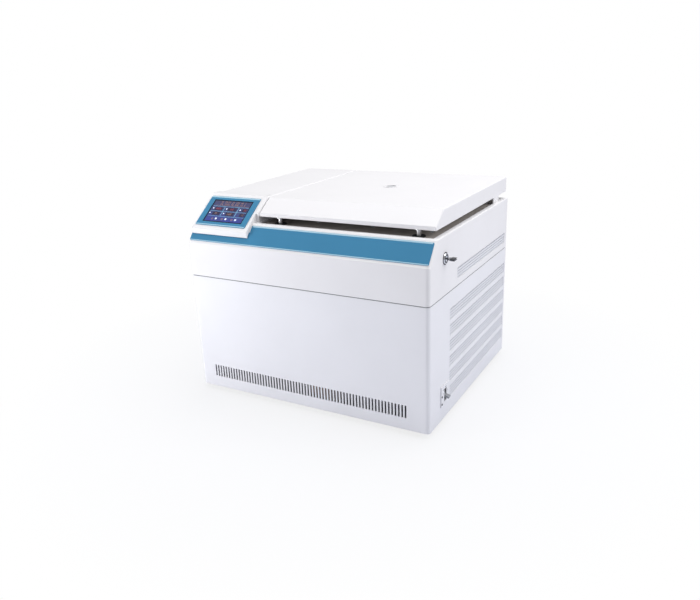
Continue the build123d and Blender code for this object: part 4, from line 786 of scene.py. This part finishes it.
@dataclass
class SideVents:
    """Perforated sheets in the vent bands of both sides, with a painted shadow strip under the top edge
    of each band.
    """

    side_x: float = 310.0
    depth: float = 1.2
    pitch: float = 6.0
    hole: float = 1.6
    # Height of the painted shadow strip at the top of each band.
    shadow_strip_h: float = 1.2
    sides: int = 8
    front_y: float = -143.5
    back_y: float = 249.5
    top_z: float = 259.6
    high: float = 26.5
    band_pitch: float = 37.0
    count: int = 6
    upper_front_y: float = -101.5
    upper_back_y: float = 243.5
    upper_low_z: float = 315.8
    upper_high_z: float = 341.3

    def sheet(self, piece: Piece, y0: float, y1: float, z0: float, z1: float, x: float) -> None:
        """Adds one perforated sheet, a cell with a round hole repeated along both ways.

        Args:
            piece: the piece that it is added to.
            y0: where it starts.
            y1: where it ends.
            z0: its foot.
            z1: its top.
            x: how far out it is, with the side's sign.
        """
        across = max(int((y1 - y0) / self.pitch), 1)
        down = max(int((z1 - z0) / self.pitch), 1)
        wide, high = (y1 - y0) / across, (z1 - z0) / down
        mesh = self.cell(wide, high, 1 if x > 0 else -1)
        mesh.transform(Matrix.Translation((x, y0 + wide / 2, z0 + high / 2)))
        band = self.repeat(self.repeat(mesh, (0, wide, 0), across), (0, 0, high), down)
        piece.bm.from_mesh(band)
        bpy.data.meshes.remove(band)

    def repeat(
        self, mesh: bpy.types.Mesh, step: tuple[float, float, float], count: int
    ) -> bpy.types.Mesh:
        """Returns a mesh of copies set along a line, and removes the one given.

        Args:
            mesh: the mesh to repeat.
            step: the way from one copy to the next.
            count: how many copies there are.

        Returns:
            The new mesh.
        """
        row = bmesh.new()
        for _ in range(count):
            row.from_mesh(mesh)
            mesh.transform(Matrix.Translation(step))
        bpy.data.meshes.remove(mesh)
        made = bpy.data.meshes.new("vent_row")
        row.to_mesh(made)
        row.free()
        return made

    def cell(self, wide: float, high: float, sign: int) -> bpy.types.Mesh:
        """Returns the mesh of one flat cell with its round hole.

        Args:
            wide: the cell's width.
            high: the cell's height.
            sign: 1 for the right side and -1 for the left.

        Returns:
            The cell's mesh.
        """
        cell = bmesh.new()
        hole = bmesh.ops.create_circle(cell, segments=self.sides, radius=self.hole)["verts"]
        outer = bmesh.ops.create_circle(cell, segments=self.sides, radius=1.0)["verts"]
        for v in outer:
            grow = max(abs(v.co.x), abs(v.co.y))
            v.co = Vector((v.co.x / grow * wide / 2, v.co.y / grow * high / 2, 0))
        rim = list({e for v in hole for e in v.link_edges})
        bmesh.ops.bridge_loops(cell, edges=rim + list({e for v in outer for e in v.link_edges}))
        wall = bmesh.ops.extrude_edge_only(cell, edges=rim)["geom"]
        inner = [g for g in wall if isinstance(g, bmesh.types.BMVert)]
        bmesh.ops.translate(cell, vec=(0, 0, -1.0), verts=inner)
        to_side = Matrix(((0, 0, sign), (sign, 0, 0), (0, 1, 0))).to_4x4()
        bmesh.ops.transform(cell, matrix=to_side, verts=cell.verts[:])
        mesh = bpy.data.meshes.new("vent_cell")
        cell.to_mesh(mesh)
        cell.free()
        return mesh

    def build(self) -> None:
        """Builds the sheets of the lower bands and of the upper band on each side, and a dark painted
        shadow strip at the top of each band.
        """
        upper = Piece("upper_vent_sheets")
        shadow_strips = Piece("vent_painted_shadow_strips")
        long, middle = self.back_y - self.front_y, (self.back_y + self.front_y) / 2
        upper_long = self.upper_back_y - self.upper_front_y
        upper_middle = (self.upper_back_y + self.upper_front_y) / 2
        for sign, name in ((1, "right"), (-1, "left")):
            piece = Piece(f"vent_sheets_{name}")
            x = sign * (self.side_x - self.depth)
            for band in range(self.count):
                top = self.top_z - band * self.band_pitch
                self.sheet(piece, self.front_y, self.back_y, top - self.high, top, x)
                # The dark strip at the band's top is painted shadow that stands for the shade under the
                # sheet's top edge.
                shadow_strips.block((x, middle, top - self.shadow_strip_h / 2), (0.5, long, self.shadow_strip_h))
            stands_for = (f"vent_screen_{name}",)
            piece.done(PAINTS.get(VENT), "casing", "white_paint", stands_for, smooth=False)
            low_z, high_z = self.upper_low_z, self.upper_high_z
            self.sheet(upper, self.upper_front_y, self.upper_back_y, low_z, high_z, x)
            shadow_strips.block((x, upper_middle, high_z - self.shadow_strip_h / 2), (0.5, upper_long, self.shadow_strip_h))
        upper.done(PAINTS.get(VENT), "casing", "white_paint", ("upper_screens",), smooth=False)
        shadow_strips.done(PAINTS.get(SHADE), "casing", "white_paint", smooth=False)


@dataclass
class Screws:
    """Round screw heads with a cross recess, set on a place."""

    radius: float = 3.2
    height: float = 1.4

    def add(self, heads: Piece, slots: Piece, spot: tuple[float, float, float]) -> None:
        """Adds one head and its cross.

        Args:
            heads: the piece that holds the heads.
            slots: the piece that holds the crosses.
            spot: where it sits on the place.
        """
        x, y, z = spot
        centre, top = (x, y, z + self.height / 2), self.radius * 0.8
        heads.disc(centre, self.radius, self.height, sides=20, top=top)
        for turn in (0.0, 90.0):
            slots.block(
                (x, y, z + self.height), (self.radius * 1.1, 0.7, 0.12),
                turn=Matrix.Rotation(math.radians(turn + 20), 3, "Z"),
            )


@dataclass
class SwitchTrim:
    """The two screws of the mains switch's plate and its plain marks."""

    side_x: float = 310.0
    centre_y: float = -172.5
    centre_z: float = 70.0
    plate_t: float = 2.5
    screw_out: float = 20.0

    def build(self) -> None:
        """Builds the screws and the on and off marks."""
        place = Place((self.side_x, self.centre_y, self.centre_z), (0, 1, 0), (0, 0, 1))
        heads, slots = Piece("switch_screws", place), Piece("switch_screw_crosses", place)
        screw = Screws(radius=2.4, height=1.0)
        for up in (-1, 1):
            screw.add(heads, slots, (-self.screw_out, up * 9.0 - 8, self.plate_t))
        heads.done(PAINTS.get(BLACK), "casing", "black_plastic")
        slots.done(PAINTS.get(ZINC), "casing", "black_plastic")
        marks = Piece("switch_marks", place)
        rise = self.plate_t + 0.04
        marks.block((-11, 15, rise), (8, 1.3, 0.1)).block((2, 18, rise), (6, 1.3, 0.1))
        marks.text("1", (-12, 6, self.plate_t + 0.05), 5.0)
        marks.text("0", (12, 6, self.plate_t + 0.05), 5.0)
        marks.done(PAINTS.get(PRINT), "casing", "black_plastic", smooth=False)


@dataclass
class RearTrim:
    """The screws of the back panel and its rating plate with plain numbers."""

    margin: float = 9.0
    plate_x: float = 40.0
    plate_z: float = 190.0
    first_line_z: float = 209.0
    line_step: float = 9.5
    letter: float = 7.0

    def build(self) -> None:
        """Builds the screws, the rating plate and its plain numbers."""
        low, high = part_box("rear_panel")
        place = Place((0.0, high[1] / MM, 0.0), (-1, 0, 0), (0, 0, 1))
        heads, slots = Piece("rear_screws", place), Piece("rear_screw_crosses", place)
        screw = Screws(radius=3.6, height=1.8)
        half = (high[0] - low[0]) / MM / 2 - self.margin
        foot, top = low[2] / MM + self.margin, high[2] / MM - self.margin
        for x in (-half, -half / 3, half / 3, half):
            for z in (foot, top):
                screw.add(heads, slots, (x, z, 0.0))
        for x in (-half, half):
            screw.add(heads, slots, (x, (foot + top) / 2, 0.0))
        heads.done(PAINTS.get(ZINC), "casing", "zinc_sheet")
        slots.done(PAINTS.get(PRINT), "casing", "zinc_sheet")
        plate = Piece("rating_plate", place)
        plate.block((self.plate_x, self.plate_z, 0.2), (90, 56, 0.4))
        plate.done(PAINTS.get(LABEL), "casing", "zinc_sheet")
        words = Piece("rating_numbers", place)
        for row, line in enumerate(("230  50", "1100", "4000", "6 x 50", "0001")):
            words.text(line, (self.plate_x, self.first_line_z - row * self.line_step, 0.45), self.letter)
        words.done(PAINTS.get(PRINT), "casing", "black_plastic", smooth=False)


@dataclass
class RotorTrim:
    """Plain numbers beside the pockets of the rotor."""

    axis: tuple[float, float] = (78.0, 54.5)
    pockets: int = 6
    ring_r: float = 90.5
    letter: float = 4.2

    def build(self) -> None:
        """Builds one number for each pocket on the rotor's rim."""
        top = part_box("rotor")[1][2] / MM
        marks = Piece("rotor_numbers")
        for i in range(self.pockets):
            turn = 2 * math.pi * (i + 0.5) / self.pockets
            flat = Matrix.Rotation(turn - math.pi / 2, 4, "Z")
            part = Piece("mark").text(str(i + 1), (0, self.ring_r, top + 0.05), self.letter)
            to_axis = Matrix.Translation((*self.axis, 0)) @ flat
            bmesh.ops.transform(part.bm, matrix=to_axis, verts=part.bm.verts[:])
            mesh = bpy.data.meshes.new("mark")
            part.bm.to_mesh(mesh)
            part.bm.free()
            marks.bm.from_mesh(mesh)
            bpy.data.meshes.remove(mesh)
        marks.done(PAINTS.get(WHITE_MARK), "rotor", "anodised", smooth=False)


@dataclass
class SeamTrim:
    """A dark grey loop in the seam between the cabinet and the upper casing: painted shade of the seam
    line.
    """

    half_w: float = 309.3
    half_d: float = 258.8
    corner: float = 8.3
    middle_z: float = 300.2
    radius: float = 0.7
    steps: int = 5

    def build(self) -> None:
        """Builds the painted seam shade as one rounded loop."""
        points = []
        for right, back in ((1, -1), (1, 1), (-1, 1), (-1, -1)):
            start = math.atan2(back, right) - math.pi / 4
            x, y = right * (self.half_w - self.corner), back * (self.half_d - self.corner)
            for i in range(self.steps):
                turn = start + math.pi / 2 * i / (self.steps - 1)
                out_x, out_y = self.corner * math.cos(turn), self.corner * math.sin(turn)
                points.append((x + out_x, y + out_y, self.middle_z))
        # A thin dark wire in the seam stands for the seam's line of shade: painted shade.
        seam_shade = Piece("seam_painted_shade").wire(points + points[:1], self.radius, sides=6)
        seam_shade.done(PAINTS.get(SEAM), "casing", "black_rubber")


@dataclass
class LockTrim:
    """The black rings round the key lock, painted shadow for the dark crescent of shade round it, and
    the black head of its key.
    """

    side_x: float = 310.0
    shadow_ring_out: float = 13.4
    face_in: float = 6.5
    face_out: float = 9.6

    def build(self) -> None:
        """Builds the black outer ring and face ring as painted shadow round the lock, and the key's
        head.
        """
        low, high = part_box("lock_barrel")
        radius = (high[1] - low[1]) / MM / 2
        centre = (high[0] / MM, (high[1] + low[1]) / MM / 2, (high[2] + low[2]) / MM / 2)
        place = Place(centre, (0, 1, 0), (0, 0, 1))
        # Both rings are black all round to paint the crescent of shade at the lock's lower left: painted
        # shadow.
        rings = Piece("lock_painted_shadow_rings", place)
        rings.ring((0, 0, self.side_x - centre[0] + 0.4), radius + 0.05, self.shadow_ring_out, 0.8)
        rings.ring((0, 0, 0.06), self.face_in, self.face_out, 0.12)
        rings.done(PAINTS.get(BLACK), "casing", "black_plastic")
        low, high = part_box("key")
        middle = [(a + b) / MM / 2 for a, b in zip(low, high)]
        head = Piece("key_head")
        wide, thick = (high[1] - low[1]) / MM, (high[2] - low[2]) / MM
        for side in (-1, 1):
            spot = (high[0] / MM - 5.5, middle[1], middle[2] + side * (thick / 2 + 0.5))
            head.block(spot, (10.0, wide - 1.0, 1.0), bevel=0.3)
        head.done(PAINTS.get(BLACK), "key", "black_plastic")


@dataclass
class BowlTrim:
    """The two raised lips on the chamber's seal."""

    axis: tuple[float, float] = (78.0, 54.5)
    lip_shares: tuple[float, float] = (0.945, 0.975)
    lip: float = 0.8

    def build(self) -> None:
        """Builds the two lips as rings on top of the seal."""
        low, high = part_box("chamber_seal")
        inner = (high[0] - low[0]) / MM / 2
        seal = Piece("seal_lips")
        centre = (*self.axis, high[2] / MM - 0.1)
        for share in self.lip_shares:
            middle = inner * share
            seal.ring(centre, middle - self.lip, middle + self.lip, self.lip, steps=72)
        seal.done(PAINTS.get(RUBBER), "casing", "black_rubber")


@dataclass
class LidTrim:
    """The screws round the lid's inner skin."""

    inset: float = 12.0

    def build(self) -> None:
        """Builds the screws round the edge of the inner skin."""
        low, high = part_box("lid_liner")
        x, y = [(low[i] + high[i]) / MM / 2 for i in (0, 1)]
        half_x, half_y = [(high[i] - low[i]) / MM / 2 - self.inset for i in (0, 1)]
        place = Place((x, y, low[2] / MM), (1, 0, 0), (0, -1, 0))
        heads, slots = Piece("liner_screws", place), Piece("liner_screw_crosses", place)
        screw = Screws(radius=4.0, height=1.6)
        for across in (-1, -0.33, 0.33, 1):
            for up in (-1, 1):
                screw.add(heads, slots, (across * half_x, up * half_y, 0.0))
        for across in (-1, 1):
            screw.add(heads, slots, (across * half_x, 0.0, 0.0))
        heads.done(PAINTS.get(ZINC), "lid", "zinc_sheet")
        slots.done(PAINTS.get(PRINT), "lid", "black_plastic")


@dataclass
class DriveTrim:
    """The details of the compressor, the motor and the control board."""

    compressor: tuple[float, float] = (-190.0, 140.5)
    compressor_r: float = 64.0
    weld_z: float = 112.0
    cover_z: float = 88.0
    motor: tuple[float, float] = (78.0, 54.5)
    motor_r: float = 76.0
    rib_count: int = 7
    rib_low_z: float = 66.0
    rib_pitch: float = 15.0

    def build(self) -> None:
        """Builds the compressor's weld and cover, the motor's ribs and the board's parts."""
        shell = Piece("compressor_weld")
        x, y, radius = *self.compressor, self.compressor_r
        shell.ring((x, y, self.weld_z), radius - 0.5, radius + 2.2, 5.0, steps=64)
        shell.done(PAINTS.get(CAST_BLACK), "casing", "black_paint")
        cover = Piece("compressor_cover")
        cover.block((x, y - radius - 4, self.cover_z), (46, 14, 40), bevel=3.0)
        cover.done(PAINTS.get(BLACK), "casing", "black_plastic")
        ribs = Piece("motor_ribs")
        for i in range(self.rib_count):
            centre = (*self.motor, self.rib_low_z + self.rib_pitch * i)
            ribs.ring(centre, self.motor_r - 0.3, self.motor_r + 1.8, 3.0, steps=64)
        ribs.done(PAINTS.get(CAST_BLACK), "casing", "black_paint")
        low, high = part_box("control_board")
        face = high[1] / MM - 8.0
        x, z = (low[0] + high[0]) / MM / 2, (low[2] + high[2]) / MM / 2
        outward = Matrix.Rotation(-math.pi / 2, 3, "X")
        chips, cans = Piece("board_chips"), Piece("board_cans")
        for across, up, wide, tall in (
            (-48, 18, 18, 8), (-48, -14, 12, 12), (0, -18, 30, 7),
            (22, -22, 10, 6), (-2, 22, 12, 8), (54, -8, 9, 16),
        ):
            chips.block((x + across, face + 1.2, z + up), (wide, 2.4, tall), bevel=0.3)
        for across, up in ((-60, -22), (8, 8), (50, 24)):
            cans.disc((x + across, face + 4.0, z + up), 4.0, 8.0, sides=20, turn=outward)
        chips.done(PAINTS.get(BLACK), "casing", "black_plastic")
        cans.done(PAINTS.get(ALUMINIUM), "casing", "aluminium")


@dataclass
class Studio:
    """The pale floor, the white surroundings, the soft lamps and the camera."""

    floor_half: float = 6.0
    lens: float = 34.84
    eye: tuple[float, float, float] = (0.8030, -1.4444, 0.7616)
    right: tuple[float, float, float] = (0.87474, 0.48313, -0.03752)
    up: tuple[float, float, float] = (-0.12606, 0.30164, 0.94505)
    look: tuple[float, float, float] = (-0.46790, 0.82195, -0.32476)
    lamps: list[tuple[str, tuple[float, float, float], float, float]] = field(default_factory=lambda: [
        ("near", (-1.3, -1.35, 0.38), 0.9, 21.5),
        ("fill", (1.7, 0.1, 1.15), 1.0, 13.5),
        ("top", (0.2, 0.55, 3.2), 2.4, 75.0),
    ])

    def floor(self) -> None:
        """Builds the floor, which is white far away and keeps the object's shadow near it."""
        bm = bmesh.new()
        bmesh.ops.create_grid(bm, x_segments=1, y_segments=1, size=self.floor_half)
        mesh = bpy.data.meshes.new("studio_floor")
        bm.to_mesh(mesh)
        bm.free()
        floor = bpy.data.objects.new("studio_floor", mesh)
        bpy.context.scene.collection.objects.link(floor)
        graph = Graph("studio_floor")
        place = graph.add("ShaderNodeTexCoord").outputs["Object"]
        gap = graph.tree.nodes.new("ShaderNodeVectorMath")
        gap.operation = "LENGTH"
        graph.tree.links.new(place, gap.inputs[0])
        far = graph.ramp(gap.outputs["Value"], 0.4, 0.9, 0.8, 1.0)
        matt = graph.add("ShaderNodeBsdfPrincipled", Base_Color=(0.64, 0.66, 0.74, 1.0), Roughness=0.9)
        white = graph.add("ShaderNodeEmission", Color=(1.0, 1.0, 1.0, 1.0), Strength=1.0)
        seen = graph.tree.nodes.new("ShaderNodeLightPath").outputs["Is Camera Ray"]
        both = graph.add("ShaderNodeMixShader", Fac=graph.math("MULTIPLY", far, seen))
        graph.tree.links.new(matt.outputs[0], both.inputs[1])
        graph.tree.links.new(white.outputs[0], both.inputs[2])
        graph.add("ShaderNodeOutputMaterial", Surface=both.outputs[0])
        mesh.materials.append(graph.material)

    def world(self) -> None:
        """Lights the surroundings evenly and shows them white."""
        world = bpy.data.worlds.new("studio")
        bpy.context.scene.world = world
        world.use_nodes = True
        tree = world.node_tree
        tree.nodes.clear()
        path = tree.nodes.new("ShaderNodeLightPath")
        seen = tree.nodes.new("ShaderNodeBackground")
        seen.inputs[0].default_value = (1.0, 1.0, 1.0, 1.0)
        seen.inputs[1].default_value = 1.0
        lit = tree.nodes.new("ShaderNodeBackground")
        lit.inputs[0].default_value = (0.98, 0.98, 1.0, 1.0)
        lit.inputs[1].default_value = 0.4
        mix = tree.nodes.new("ShaderNodeMixShader")
        out = tree.nodes.new("ShaderNodeOutputWorld")
        tree.links.new(path.outputs["Is Camera Ray"], mix.inputs[0])
        tree.links.new(lit.outputs[0], mix.inputs[1])
        tree.links.new(seen.outputs[0], mix.inputs[2])
        tree.links.new(mix.outputs[0], out.inputs[0])

    def light(self) -> None:
        """Hangs the soft lamps, each aimed at the middle of the object."""
        for name, spot, size, power in self.lamps:
            data = bpy.data.lights.new(name, "AREA")
            data.shape = "SQUARE"
            data.size = size
            data.energy = power
            lamp = bpy.data.objects.new(name, data)
            lamp.location = spot
            aim = Vector((0.0, 0.0, 0.25)) - Vector(spot)
            lamp.rotation_euler = aim.to_track_quat("-Z", "Y").to_euler()
            bpy.context.scene.collection.objects.link(lamp)

    def camera(self) -> None:
        """Sets the camera where the photograph was taken from."""
        data = bpy.data.cameras.new("camera")
        data.lens = self.lens
        data.sensor_fit = "HORIZONTAL"
        data.sensor_width = 36.0
        data.dof.use_dof = False
        camera = bpy.data.objects.new("camera", data)
        turn = Matrix((self.right, self.up, tuple(-c for c in self.look))).transposed()
        camera.matrix_world = Matrix.Translation(self.eye) @ turn.to_4x4()
        bpy.context.scene.collection.objects.link(camera)
        bpy.context.scene.camera = camera

    def build(self) -> None:
        """Builds the whole studio."""
        bpy.context.scene.view_settings.view_transform = "Standard"
        self.floor()
        self.world()
        self.light()
        self.camera()


def main() -> None:
    """Dresses the CAD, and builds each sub-assembly in order."""
    logging.basicConfig(level=logging.INFO, format="%(message)s")
    dress_cad()
    for assembly in (
        Display(), FrontTrim(), SeamTrim(), SideVents(), LockTrim(), SwitchTrim(), RearTrim(),
        RotorTrim(), BowlTrim(), LidTrim(), DriveTrim(),
    ):
        assembly.build()
        log.info("built %s", type(assembly).__name__)
    Studio().build()


if __name__ == "__main__":
    main()
